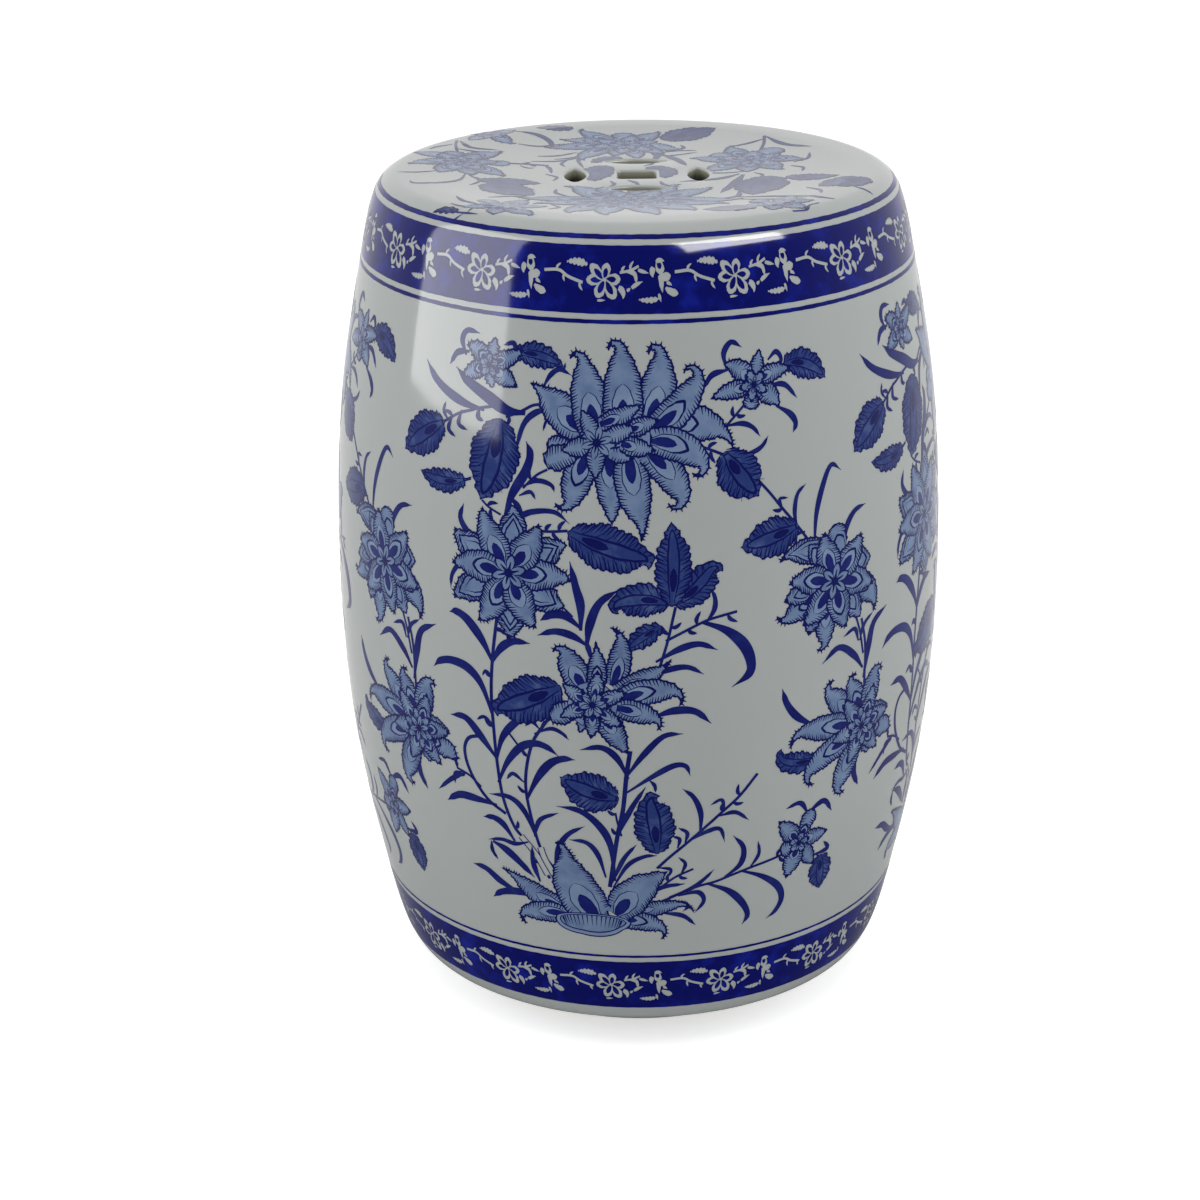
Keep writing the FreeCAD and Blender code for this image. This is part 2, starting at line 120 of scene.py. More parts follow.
class Socket:
    """One value in a node tree, so that maths on it reads like maths."""

    def __init__(self, nodes: "Nodes", link: bpy.types.NodeSocket | None) -> None:
        """Keep the tree and the node's output."""
        self.nodes = nodes
        self.link = link

    def __add__(self, other: Any) -> "Socket":
        """Sum."""
        return self.nodes.maths("ADD", self, other)

    __radd__ = __add__

    def __sub__(self, other: Any) -> "Socket":
        """Difference."""
        return self.nodes.maths("SUBTRACT", self, other)

    def __rsub__(self, other: Any) -> "Socket":
        """Difference from a number."""
        return self.nodes.maths("SUBTRACT", other, self)

    def __mul__(self, other: Any) -> "Socket":
        """Product."""
        return self.nodes.maths("MULTIPLY", self, other)

    __rmul__ = __mul__

    def __truediv__(self, other: Any) -> "Socket":
        """Quotient."""
        return self.nodes.maths("DIVIDE", self, other)

    def __mod__(self, other: Any) -> "Socket":
        """Remainder."""
        return self.nodes.maths("MODULO", self, other)

    def above(self, other: Any) -> "Socket":
        """1 where this is greater than the other, else 0."""
        return self.nodes.maths("GREATER_THAN", self, other)

    def beside(self, output: Any) -> "Socket":
        """Another output of the same node."""
        return Socket(self.nodes, self.link.node.outputs[output])


class Nodes:
    """A node tree being filled."""

    def __init__(self, tree: bpy.types.NodeTree) -> None:
        """Start without nodes."""
        self.tree = tree
        tree.nodes.clear()

    def add(self, kind: str, settings: dict[str, Any], inputs: dict[Any, Any], output: Any = 0) -> Socket:
        """Add any node.

        Args:
            kind: the node's type.
            settings: its properties; the key "stops" fills a colour ramp.
            inputs: a number, colour or Socket for each input's name or place.
            output: which of its outputs is wanted.

        Returns:
            The chosen output.
        """
        node = self.tree.nodes.new(kind)
        for key, value in settings.items():
            if key == "stops":
                self._fill_ramp(node.color_ramp, value)
            else:
                setattr(node, key, value)
        for key, value in inputs.items():
            if isinstance(value, Socket):
                self.tree.links.new(value.link, node.inputs[key])
            else:
                node.inputs[key].default_value = value
        return Socket(self, node.outputs[output] if node.outputs else None)

    def maths(self, operation: str, *values: Any) -> Socket:
        """Add a Math node."""
        return self.add("ShaderNodeMath", {"operation": operation}, dict(enumerate(values)))

    @staticmethod
    def _fill_ramp(ramp: bpy.types.ColorRamp, stops: Sequence[tuple[float, Colour]]) -> None:
        """Put colours at places along a ramp."""
        for place, _ in stops[2:]:
            ramp.elements.new(place)
        for element, (place, colour) in zip(ramp.elements, stops):
            element.position = place
            element.color = colour


class Shader(Nodes):
    """The nodes of a material or of the world."""

    def __init__(self, owner: bpy.types.Material | bpy.types.World) -> None:
        """Clear the owner's nodes."""
        owner.use_nodes = True
        super().__init__(owner.node_tree)

    def place(self) -> Socket:
        """The piece's own coordinates, in metres."""
        return self.add("ShaderNodeTexCoord", {}, {}, "Object")

    def ray(self, kind: str) -> Socket:
        """1 for what a kind of ray sees, such as Is Camera Ray."""
        return self.add("ShaderNodeLightPath", {}, {}, kind)

    def noise(self, scale: float, detail: float) -> Socket:
        """Cloudy values between 0 and 1, fixed to the piece."""
        return self.add("ShaderNodeTexNoise", {}, {"Vector": self.place(), "Scale": scale, "Detail": detail})

    def height(self) -> Socket:
        """Height above the floor, in metres."""
        return self.add("ShaderNodeSeparateXYZ", {}, {0: self.place()}, "Z")

    def mix(self, share: Any, first: Any, second: Any) -> Socket:
        """A colour between two others."""
        return self.add("ShaderNodeMix", {"data_type": "RGBA"}, {0: share, 6: first, 7: second}, 2)

    def mirrored(self) -> Socket:
        """1 for what shows in a gloss or through glass."""
        return self.maths("MAXIMUM", self.ray("Is Glossy Ray"), self.ray("Is Transmission Ray"))


@dataclass(frozen=True)
class Finish:
    """A surface of two colours that drift into each other. Its plain form is the smooth glaze.

    Clouds, grain and fine grain are each a noise's scale and detail. The depth is in metres.
    """

    name: str = "glaze"
    first: Colour = WHITE
    second: Colour = WHITE
    clouds: Point = (9.0, 3.0)
    roughness: float = 0.09
    grain: Point = (38.0, 1.0)
    fine_grain: Point = (260.0, 2.0)
    fine_share: float = 0.12
    strength: float = 0.12
    depth: float = 0.0006

    def colour(self, shader: Shader) -> Socket:
        """Colour over the surface."""
        return shader.mix(shader.noise(*self.clouds), self.first, self.second)

    def ripple(self, shader: Shader) -> Socket:
        """Height over the surface."""
        height = shader.noise(*self.grain)
        return height + shader.noise(*self.fine_grain) * self.fine_share if self.fine_share else height

    def material(self) -> bpy.types.Material:
        """Build the finish."""
        material = bpy.data.materials.new(self.name)
        shader = Shader(material)
        normal = shader.add("ShaderNodeBump", {}, {
            "Height": self.ripple(shader), "Strength": self.strength, "Distance": self.depth})
        surface = shader.add("ShaderNodeBsdfPrincipled", {}, {
            "Base Color": self.colour(shader), "Roughness": self.roughness, "IOR": 1.5, "Normal": normal})
        shader.add("ShaderNodeOutputMaterial", {}, {"Surface": surface})
        return material


@dataclass(frozen=True)
class WhiteGlaze(Finish):
    """Milky white glaze, smooth but not quite even, a little thinner and warmer on its lowest edge."""

    name: str = "white_glaze"
    first: Colour = linear(174, 178, 177)
    second: Colour = linear(168, 173, 172)
    thin: Colour = linear(168, 163, 148)
    thin_share: float = 0.7
    edge_height: float = 0.0062

    def colour(self, shader: Shader) -> Socket:
        """White that drifts, with the thin glaze low down."""
        low = 1.0 - shader.height().above(self.edge_height)
        return shader.mix(low * self.thin_share, super().colour(shader), self.thin)


@dataclass(frozen=True)
class HoleGlaze(Finish):
    """The same glaze where it ran thin over the cut clay of the piercing, its darker, greener second colour
    partly painted shade of the holes.
    """

    name: str = "thin_glaze_and_hole_shade"
    first: Colour = linear(172, 170, 152)
    # painted shade: this darker, greener colour stands partly for the shade inside the holes
    second: Colour = linear(150, 154, 138)
    roughness: float = 0.16
    clouds: Point = (90.0, 4.0)
    grain: Point = (400.0, 3.0)
    fine_share: float = 0.0
    strength: float = 0.2
    depth: float = 0.0004


@dataclass(frozen=True)
class BareClay(Finish):
    """Unglazed fired stoneware, warm grey with fine dark specks."""

    name: str = "bare_clay"
    first: Colour = linear(190, 178, 158)
    second: Colour = linear(164, 150, 130)
    speck: Colour = linear(104, 90, 74)
    specks: Point = (900.0, 1.0)
    speck_level: float = 0.72
    speck_share: float = 0.7
    roughness: float = 0.82
    clouds: Point = (35.0, 5.0)
    grain: Point = (700.0, 5.0)
    fine_share: float = 0.0
    strength: float = 0.5
    depth: float = 0.0003

    def colour(self, shader: Shader) -> Socket:
        """Pale and dark clay with specks."""
        specks = shader.noise(*self.specks).above(self.speck_level)
        return shader.mix(specks * self.speck_share, super().colour(shader), self.speck)


@dataclass(frozen=True)
class PadRubber(Finish):
    """Grey felted rubber of the floor pads."""

    name: str = "pad_rubber"
    first: Colour = linear(92, 90, 87)
    second: Colour = linear(120, 116, 110)
    roughness: float = 0.9
    clouds: Point = (500.0, 4.0)
    grain: Point = (1500.0, 2.0)
    fine_share: float = 0.0
    strength: float = 0.4
    depth: float = 0.0002


@dataclass(frozen=True)
class CobaltPaint(Finish):
    """Cobalt blue under the glaze. The film says how much pigment lies where, and it pools unevenly."""

    name: str = "cobalt_brushwork"
    stops: tuple[tuple[float, Colour], ...] = (
        (0.1, linear(160, 174, 200)), (0.3, linear(130, 149, 178)), (0.45, linear(106, 127, 161)),
        (0.66, linear(41, 59, 118)), (0.88, linear(20, 29, 103)), (1.0, linear(12, 18, 84)),
    )
    pooling: float = 0.3
    clouds: Point = (120.0, 3.0)

    def colour(self, shader: Shader) -> Socket:
        """Blue after the pigment's amount."""
        pigment = shader.add("ShaderNodeAttribute", {"attribute_name": PIGMENT}, {}, "Fac")
        cloud = shader.noise(*self.clouds) - 0.5
        return shader.add("ShaderNodeValToRGB", {"stops": self.stops}, {0: pigment + cloud * self.pooling})


@dataclass(frozen=True)
class CobaltGround(CobaltPaint):
    """The bands' blue, laid on in full washes that pool in larger patches."""

    name: str = "cobalt_ground"
    stops: tuple[tuple[float, Colour], ...] = (
        (0.6, linear(50, 82, 158)), (0.82, linear(22, 46, 140)), (0.95, linear(11, 25, 128)),
        (1.15, linear(5, 12, 96)),
    )
    pooling: float = 0.35
    clouds: Point = (80.0, 3.0)


class Tone(Enum):
    """How much cobalt a painted area holds. A bare area is left out of the film."""

    BARE = 0.0
    PALE = 0.38
    WASH = 0.45
    LEAF = 0.66
    BLADE = 0.88
    LINE = 1.0


class Picture:
    """Painted areas on a flat sheet, in millimetres, each over the ones before it."""

    def __init__(self, seed: int) -> None:
        """Start an empty sheet with its own hand tremor."""
        self.areas: list[tuple[np.ndarray, Tone]] = []
        self.hand = random.Random(seed)

    def fill(self, outline: Sequence[complex], tone: Tone) -> None:
        """Paint the inside of an outline."""
        self.areas.append((np.array(outline), tone))

    def stroke(self, start: complex, end: complex, width: float) -> None:
        """Paint a short dark stroke that narrows to about a fifth."""
        side = 1j * (end - start) / max(abs(end - start), TINY) * width / 2
        tip = 0.22 * side
        self.fill((start + side, start - side, end - tip, end + tip), Tone.LINE)

    def paint(self, motifs: Iterable["Motif"]) -> None:
        """Paint motifs in their order."""
        for motif in motifs:
            motif.paint(self)

    def repeated(self, period: float) -> "Picture":
        """The same sheet with a copy on its left and one on its right."""
        sheet = Picture(SEED)
        for outline, tone in self.areas:
            for shift in (-period, 0.0, period):
                sheet.fill(outline + shift, tone)
        return sheet


def curve(points: Sequence[complex], steps: int) -> list[complex]:
    """A smooth line through points.

    Args:
        points: where it passes.
        steps: how many pieces each stretch gets.

    Returns:
        Points along the line.
    """
    padded = [2 * points[0] - points[1], *points, 2 * points[-1] - points[-2]]
    line = []
    for before, start, end, after in zip(padded, padded[1:], padded[2:], padded[3:]):
        for step in range(steps):
            share = step / steps
            line.append(0.5 * (
                2 * start + (end - before) * share
                + (2 * before - 5 * start + 4 * end - after) * share ** 2
                + (3 * start - before - 3 * end + after) * share ** 3))
    line.append(points[-1])
    return line


def directions(line: Sequence[complex]) -> list[complex]:
    """Unit direction at each point of a line."""
    ahead = [*line[1:], 2 * line[-1] - line[-2]]
    behind = [2 * line[0] - line[1], *line[:-1]]
    return [(end - start) / max(abs(end - start), 1e-9) for start, end in zip(behind, ahead)]


def ribbon(line: Sequence[complex], half_widths: Sequence[float]) -> list[complex]:
    """Outline of a line that has a width, up one side and back down the other."""
    sides = [1j * direction * half for direction, half in zip(directions(line), half_widths)]
    left = [point + side for point, side in zip(line, sides)]
    right = [point - side for point, side in zip(line, sides)]
    return left + right[::-1]


def drawn_in(halves: Iterable[float], inset: float, least: float = 0.03) -> list[float]:
    """Half widths less an inset, none under the least."""
    return [max(least, half - inset) for half in halves]


def circle(middle: complex, radius: float, count: int = 18) -> list[complex]:
    """Outline of a disc."""
    return [middle + cmath.rect(radius, FULL_TURN * number / count) for number in range(count)]


def between(stops: Sequence[tuple[float, float]], place: float) -> float:
    """Value at a place along a row of (place, value) stops, eased from stop to stop."""
    for (start, low), (end, high) in zip(stops, stops[1:]):
        if place <= end:
            share = (place - start) / (end - start)
            return low + (high - low) * share * share * (3 - 2 * share)
    return stops[-1][1]


class Form(Enum):
    """How wide a lobe is along its length, as shares of its half width."""

    HOOKED = ((0.0, 0.8), (0.25, 1.0), (0.5, 0.92), (0.67, 0.66), (0.79, 0.34), (0.89, 0.18), (1.0, 0.04))
    POINTED = ((0.0, 0.7), (0.3, 1.0), (0.6, 0.82), (0.82, 0.42), (1.0, 0.02))
    ROUND = ((0.0, 0.35), (0.35, 0.85), (0.7, 1.0), (0.92, 0.6), (1.0, 0.1))
    LEAF = ((0.0, 0.08), (0.1, 0.62), (0.38, 1.0), (0.66, 0.88), (0.88, 0.4), (1.0, 0.02))
    EYE = ((0.0, 0.4), (0.35, 0.9), (0.62, 1.0), (0.84, 0.74), (0.95, 0.42), (1.0, 0.1))
    BLADE = ((0.0, 0.35), (0.4, 1.0), (0.78, 0.76), (1.0, 0.06))


class Motif:
    """Anything that can be painted on a sheet."""

    def paint(self, picture: Picture) -> None:
        """Paint the motif."""
        raise NotImplementedError


@dataclass(frozen=True)
class Lobe(Motif):
    """A curved lobe from a base to a tip, such as a petal or a leaf."""

    base: complex
    tip: complex
    width: float
    bow: float = 0.0
    hook: float = 0.0
    form: Form = Form.POINTED
    step: float = 1.45
    hook_start: float = 0.66
    hook_reach: float = 0.88
    hook_growth: float = 1.5
    fewest: int = 8

    def line(self) -> list[complex]:
        """The lobe's middle line. Past the hook's start it curls on beyond the tip."""
        reach = self.hook_reach if self.hook else 1.0
        count = max(self.fewest, round(abs(self.tip - self.base) / reach / self.step))
        place = 0j
        line = [place]
        for number in range(count):
            share = (number + 0.5) / count
            curl = max(0.0, (share - self.hook_start) / (1 - self.hook_start)) ** self.hook_growth
            place += cmath.exp(1j * (self.bow * (2 * share - 1) + self.hook * curl)) / count
            line.append(place)
        target = line[round(reach * count)]
        return [self.base + point * (self.tip - self.base) / target for point in line]

    def widths(self, count: int, share: float = 1.0) -> list[float]:
        """Half widths at a number of points along the line, times a share."""
        half = self.width / 2 * share
        return [max(THIN, half * between(self.form.value, number / (count - 1))) for number in range(count)]

    def inner(self, start: float, end: float, share: float, inset: float = 0.0) -> list[complex]:
        """Outline of a lancet inside the lobe.

        Args:
            start, end: where along the middle line it lies.
            share: its width as a share of the lobe's.
            inset: how far its outline then draws in, in millimetres.

        Returns:
            The outline.
        """
        line = self.line()
        first, last = round(start * (len(line) - 1)), round(end * (len(line) - 1))
        part = line[first:last + 1]
        if len(part) < 5:
            part = curve(part, 3)
        ends = len(part) - 1
        half = self.width / 2 * share
        halves = [half * between(Form.EYE.value, number / ends) for number in range(ends + 1)]
        return ribbon(part, drawn_in(halves, inset, 0.05))


@dataclass(frozen=True)
class Petal(Lobe):
    """A petal: dark outline, pale wash, a fringe of short strokes and an eye near its base.

    Nested petals are drawn inside it, each smaller than the one before.
    """

    outline: float = 1.1
    fringe: float = 4.4
    pitch: float = 1.5
    eye: float = 0.46
    ripple: float = 0.25
    nested: int = 0
    nested_shrink: Point = (0.14, 0.26)
    stroke_width: float = 1.1
    stroke_lean: float = 0.3
    stroke_share: float = 0.72
    hair_start: float = 0.72
    hair_root: float = 0.3
    hair_lean: float = 0.4
    hair_length: Point = (0.7, 1.5)

    def paint(self, picture: Picture) -> None:
        """Paint the petal."""
        line = self.line()
        count = len(line)
        wavy = [
            half + self.ripple * (1 if number % 2 else -1) * min(1.0, half / 2)
            for number, half in enumerate(self.widths(count))
        ]
        picture.fill(ribbon(line, wavy), Tone.LINE)
        wash = drawn_in(wavy, self.outline)
        keep = sum(1 for half in wash if half > LEAST_WASH)
        picture.fill(ribbon(line[:keep], wash[:keep]), Tone.WASH)
        self._fringe(picture, line, wavy)
        shorten, narrow = self.nested_shrink
        for number in range(self.nested):
            for share, reach, tone in ((0.8, 0.86, Tone.LINE), (0.7, 0.82, Tone.WASH)):
                length = round((reach - shorten * number) * (count - 1))
                picture.fill(ribbon(line[:length], self.widths(length, share - narrow * number)), tone)
        if self.eye:
            for tone, beyond, share, inset in (
                    (Tone.LINE, 0.02, 0.54, 0.0), (Tone.PALE, 0.0, 0.54, 0.6),
                    (Tone.BLADE, -0.13, 0.3, 0.0)):
                picture.fill(self.inner(0.0, self.eye + beyond, share, inset), tone)

    def _fringe(self, picture: Picture, line: list[complex], halves: list[float]) -> None:
        """Short strokes inwards from the edge, and hairs outwards on the outer side of a hook."""
        headings = directions(line)
        every = max(1, round(self.pitch / abs(line[1] - line[0])))
        for side in (1j, -1j):
            for number in range(1, len(line) - 1, every):
                half, heading = halves[number], headings[number]
                edge = line[number] + side * heading * half
                reach = min(self.fringe * picture.hand.uniform(0.7, 1.0), half * self.stroke_share)
                picture.stroke(edge, edge + (self.stroke_lean - side) * heading * reach, self.stroke_width)
                if self.hook and number > len(line) * self.hair_start and side.imag * self.hook < 0:
                    hair = (side + self.hair_lean) * heading * picture.hand.uniform(*self.hair_length)
                    root = edge - side * heading * self.hair_root
                    picture.stroke(root, edge + hair, self.stroke_width)


@dataclass(frozen=True)
class Leaf(Lobe):
    """A toothed leaf: dark edge, blue body, hatching, veins and a narrow eye along its midrib."""

    form: Form = Form.LEAF
    step: float = 1.0
    teeth: float = 1.1
    tooth_steps: int = 4
    tooth_rise: float = 0.4
    outline: float = 1.0
    hatch_width: float = 1.3
    hatch_lean: float = 0.5
    hatch_reach: Point = (0.28, 0.8)
    veins: int = 5
    vein_width: float = 0.9
    vein_lean: float = 0.9
    vein_span: Point = (0.1, 0.62)
    vein_reach: float = 0.75

    def paint(self, picture: Picture) -> None:
        """Paint the leaf."""
        line = self.line()
        count = len(line)
        last = self.tooth_steps - 1
        toothed = [
            half + self.teeth * (number % self.tooth_steps / last - self.tooth_rise) * min(1.0, half / 3)
            for number, half in enumerate(self.widths(count))
        ]
        picture.fill(ribbon(line, toothed), Tone.LINE)
        picture.fill(ribbon(line, drawn_in(toothed, self.outline)), Tone.LEAF)
        headings = directions(line)
        of_width, of_half = self.hatch_reach
        vein_start, vein_span = self.vein_span
        for side in (1j, -1j):
            for number in range(2, count - 2, 2):
                half, heading = toothed[number], headings[number]
                edge = line[number] + side * heading * half
                reach = min(self.width * of_width, half * of_half) * picture.hand.uniform(0.6, 1.0)
                picture.stroke(edge, edge - (side + self.hatch_lean) * heading * reach, self.hatch_width)
            for number in range(self.veins):
                place = round((vein_start + vein_span * number / self.veins) * (count - 1))
                vein = (side + self.vein_lean) * headings[place] * (toothed[place] * self.vein_reach)
                picture.stroke(line[place], line[place] + vein, self.vein_width)
        for start, end, share, tone in (
                (0.04, 0.92, 0.36, Tone.LINE), (0.05, 0.88, 0.25, Tone.LEAF), (0.18, 0.46, 0.2, Tone.LINE)):
            picture.fill(self.inner(start, end, share), tone)


@dataclass(frozen=True)
class Blade(Motif):
    """A grass blade: one brush stroke that swells and runs out."""

    route: tuple[complex, ...]
    width: float = 3.0
    steps: int = 5
    tone: Tone = Tone.BLADE

    def paint(self, picture: Picture) -> None:
        """Paint the blade."""
        line = curve(self.route, self.steps)
        ends = len(line) - 1
        halves = [self.width / 2 * between(Form.BLADE.value, number / ends) for number in range(ends + 1)]
        picture.fill(ribbon(line, halves), self.tone)


def blades(*rows: tuple[complex, ...]) -> tuple[Blade, ...]:
    """Grass blades.

    Args:
        rows: for each blade the places along it, then its width.

    Returns:
        The blades.
    """
    return tuple(Blade(row[:-1], row[-1]) for row in rows)


@dataclass(frozen=True)
class Twig(Motif):
    """A stem of even width, with hooked thorns at shares of its length, left or, if negative, right."""

    route: tuple[complex, ...]
    width: float = 1.3
    thorns: tuple[float, ...] = ()
    hollow: bool = False
    steps: int = 5
    thorn_length: float = 5.4
    thorn_width: float = 0.42
    tone: Tone = Tone.BLADE
    skin: float = 0.6

    def paint(self, picture: Picture) -> None:
        """Paint the stem and its thorns."""
        line = curve(self.route, self.steps)
        picture.fill(ribbon(line, [self.width / 2] * len(line)), self.tone)
        if self.hollow:
            picture.fill(ribbon(line, [self.width / 2 - self.skin] * len(line)), Tone.BARE)
        headings = directions(line)
        for thorn in self.thorns:
            place = round(abs(thorn) * (len(line) - 1))
            heading, root = headings[place], line[place]
            side = heading * 1j * math.copysign(1, thorn)
            reach = self.thorn_length * picture.hand.uniform(0.8, 1.2)
            Blade((
                root - side * 0.2, root + (side * 0.5 + heading * 0.2) * reach,
                root + (side * 0.9 + heading * 0.75) * reach,
            ), self.thorn_length * self.thorn_width, 4, self.tone).paint(picture)


@dataclass(frozen=True)
class Ring:
    """A ring of like petals round a flower's middle."""

    count: int
    reach: float
    width: float
    turn: float = 0.0
    start: float = 0.25
    hook: float = 0.0
    bow: float = 0.15
    eye: float = 0.5
    form: Form = Form.POINTED
    nested: int = 0
    tremor: float = 4.0
    reaches: Point = (0.92, 1.06)
    fringe: float = 5.0
    fringe_share: float = 0.34
    pitch: float = 1.4

    def petals(self, middle: complex, hand: random.Random) -> list[Petal]:
        """The ring's petals round a middle, none quite like the next."""
        petals = []
        for number in range(self.count):
            turn = self.turn + 360 * number / self.count + hand.uniform(-self.tremor, self.tremor)
            ray = cmath.exp(1j * math.radians(turn))
            reach = self.reach * hand.uniform(*self.reaches)
            side = 1 if number % 2 else -1
            petals.append(Petal(
                middle + ray * self.reach * self.start, middle + ray * reach, self.width, self.bow * side,
                self.hook * side, self.form, eye=self.eye, nested=self.nested,
                fringe=min(self.fringe, self.width * self.fringe_share), pitch=self.pitch))
        return petals


@dataclass(frozen=True)
class Bloom(Motif):
    """A flower: its outer petals, a disc, rings of petals, then a rosette of loops and rays.

    All measures of the rosette are shares of the star's radius, apart from its line's width.
    """

    middle: complex
    outer: tuple[Petal, ...] = ()
    rings: tuple[Ring, ...] = ()
    star: float = 3.4
    heart: float = 0.0
    heart_line: float = 0.5
    loops: int = 6
    loop_turn: float = 0.3
    loop_span: Point = (0.3, 3.2)
    loop_width: float = 1.6
    loop_line: float = 0.55
    ray_reach: float = 1.9
    disc: float = 0.7

    def paint(self, picture: Picture) -> None:
        """Paint the flower, outer petals first."""
        picture.paint(self.outer)
        if self.heart:
            picture.fill(circle(self.middle, self.heart), Tone.LINE)
            picture.fill(circle(self.middle, self.heart - self.heart_line), Tone.WASH)
        for ring in self.rings:
            picture.paint(ring.petals(self.middle, picture.hand))
        if self.star:
            self._rosette(picture)

    def _rosette(self, picture: Picture) -> None:
        """Loops and rays round a small disc."""
        for number in range(self.loops):
            ray = cmath.rect(self.star, math.tau * number / self.loops + self.loop_turn)
            near, far = (self.middle + ray * share for share in self.loop_span)
            loop = Lobe(near, far, self.star * self.loop_width, step=1.0)
            picture.fill(loop.inner(0.0, 1.0, 1.0), Tone.LINE)
            picture.fill(loop.inner(0.0, 0.94, 1.0, self.loop_line), Tone.WASH)
            picture.stroke(self.middle, self.middle + ray * self.ray_reach, self.star * self.disc)
        picture.fill(circle(self.middle, self.star * self.disc), Tone.LINE)


@dataclass(frozen=True)
class Cup(Motif):
    """The ruffled cup under the half-open flower: a doubled scalloped line over a fringe."""

    middle: complex
    reach: float
    drop: float
    scallops: float = 2.5
    ruffle: float = 0.07
    steps: int = 40
    strokes: int = 19
    stroke_width: float = 0.8

    def outline(self, inset: float, rise: float) -> list[complex]:
        """Outline of the cup, scalloped below and bowed above."""
        line = []
        for number in range(2 * self.steps):
            turn = math.pi * (1 + number / self.steps)
            below = number < self.steps
            ruffle = 1 + self.ruffle * abs(math.sin(self.scallops * (turn - math.pi))) * below
            depth = (self.drop - inset) if below else rise
            line.append(self.middle + complex(
                math.cos(turn) * (self.reach - inset) * ruffle, math.sin(turn) * depth * ruffle))
        return line

    def paint(self, picture: Picture) -> None:
        """Paint the cup."""
        for inset, rise, tone in (
                (0.0, 4.5, Tone.LINE), (0.8, 3.8, Tone.PALE), (2.6, 3.4, Tone.LINE), (3.4, 2.8, Tone.WASH)):
            picture.fill(self.outline(inset, rise), tone)
        for number in range(self.strokes):
            turn = math.pi * (number + 0.5) / self.strokes
            top = self.middle + complex(math.cos(turn) * (self.reach - 4), math.sin(turn) * 2.9)
            fall = complex(-math.cos(turn) * 2.2, -5.2 - 1.6 * math.sin(turn))
            picture.stroke(top, top + fall, self.stroke_width)


@dataclass(frozen=True)
class Film:
    """One layer of painted triangles, their corners in millimetres on the flat sheet."""

    corners: np.ndarray
    pigment: np.ndarray
    map_columns: int = 3
    map_rows: int = 2

    def mesh(self, name: str, lay: Callable[[np.ndarray], np.ndarray]) -> bpy.types.Mesh:
        """Lay the film on a surface.

        Each tone gets its own part of the UV map, so that no colour runs into its neighbour there.

        Args:
            name: the mesh's name.
            lay: turns places on the sheet into places in metres.

        Returns:
            The mesh.
        """
        places, index = np.unique(np.round(self.corners.ravel(), 3), return_inverse=True)
        faces = index.reshape(-1, 3)
        whole = (faces[:, 0] != faces[:, 1]) & (faces[:, 1] != faces[:, 2]) & (faces[:, 2] != faces[:, 0])
        faces, pigment = faces[whole], self.pigment[whole]
        mesh = bpy.data.meshes.new(name)
        mesh.from_pydata(lay(places).tolist(), [], faces.tolist())
        low = complex(places.real.min(), places.imag.min())
        span = complex(places.real.max(), places.imag.max()) - low
        scale = 0.98 / max(span.real * self.map_columns, span.imag * self.map_rows)
        tone = np.unique(pigment, return_inverse=True)[1]
        corner = tone % self.map_columns / self.map_columns + 1j * (tone // self.map_columns / self.map_rows)
        spots = (places[faces] - low) * scale + corner[:, None]
        layer = mesh.uv_layers.new(name=UV_NAME)
        layer.data.foreach_set("uv", np.stack([spots.real, spots.imag], -1).astype(np.float32).ravel())
        amount = mesh.attributes.new(PIGMENT, "FLOAT", "CORNER")
        amount.data.foreach_set("value", np.repeat(pigment, 3).astype(np.float32))
        mesh.polygons.foreach_set("use_smooth", np.ones(len(faces), bool))
        return mesh


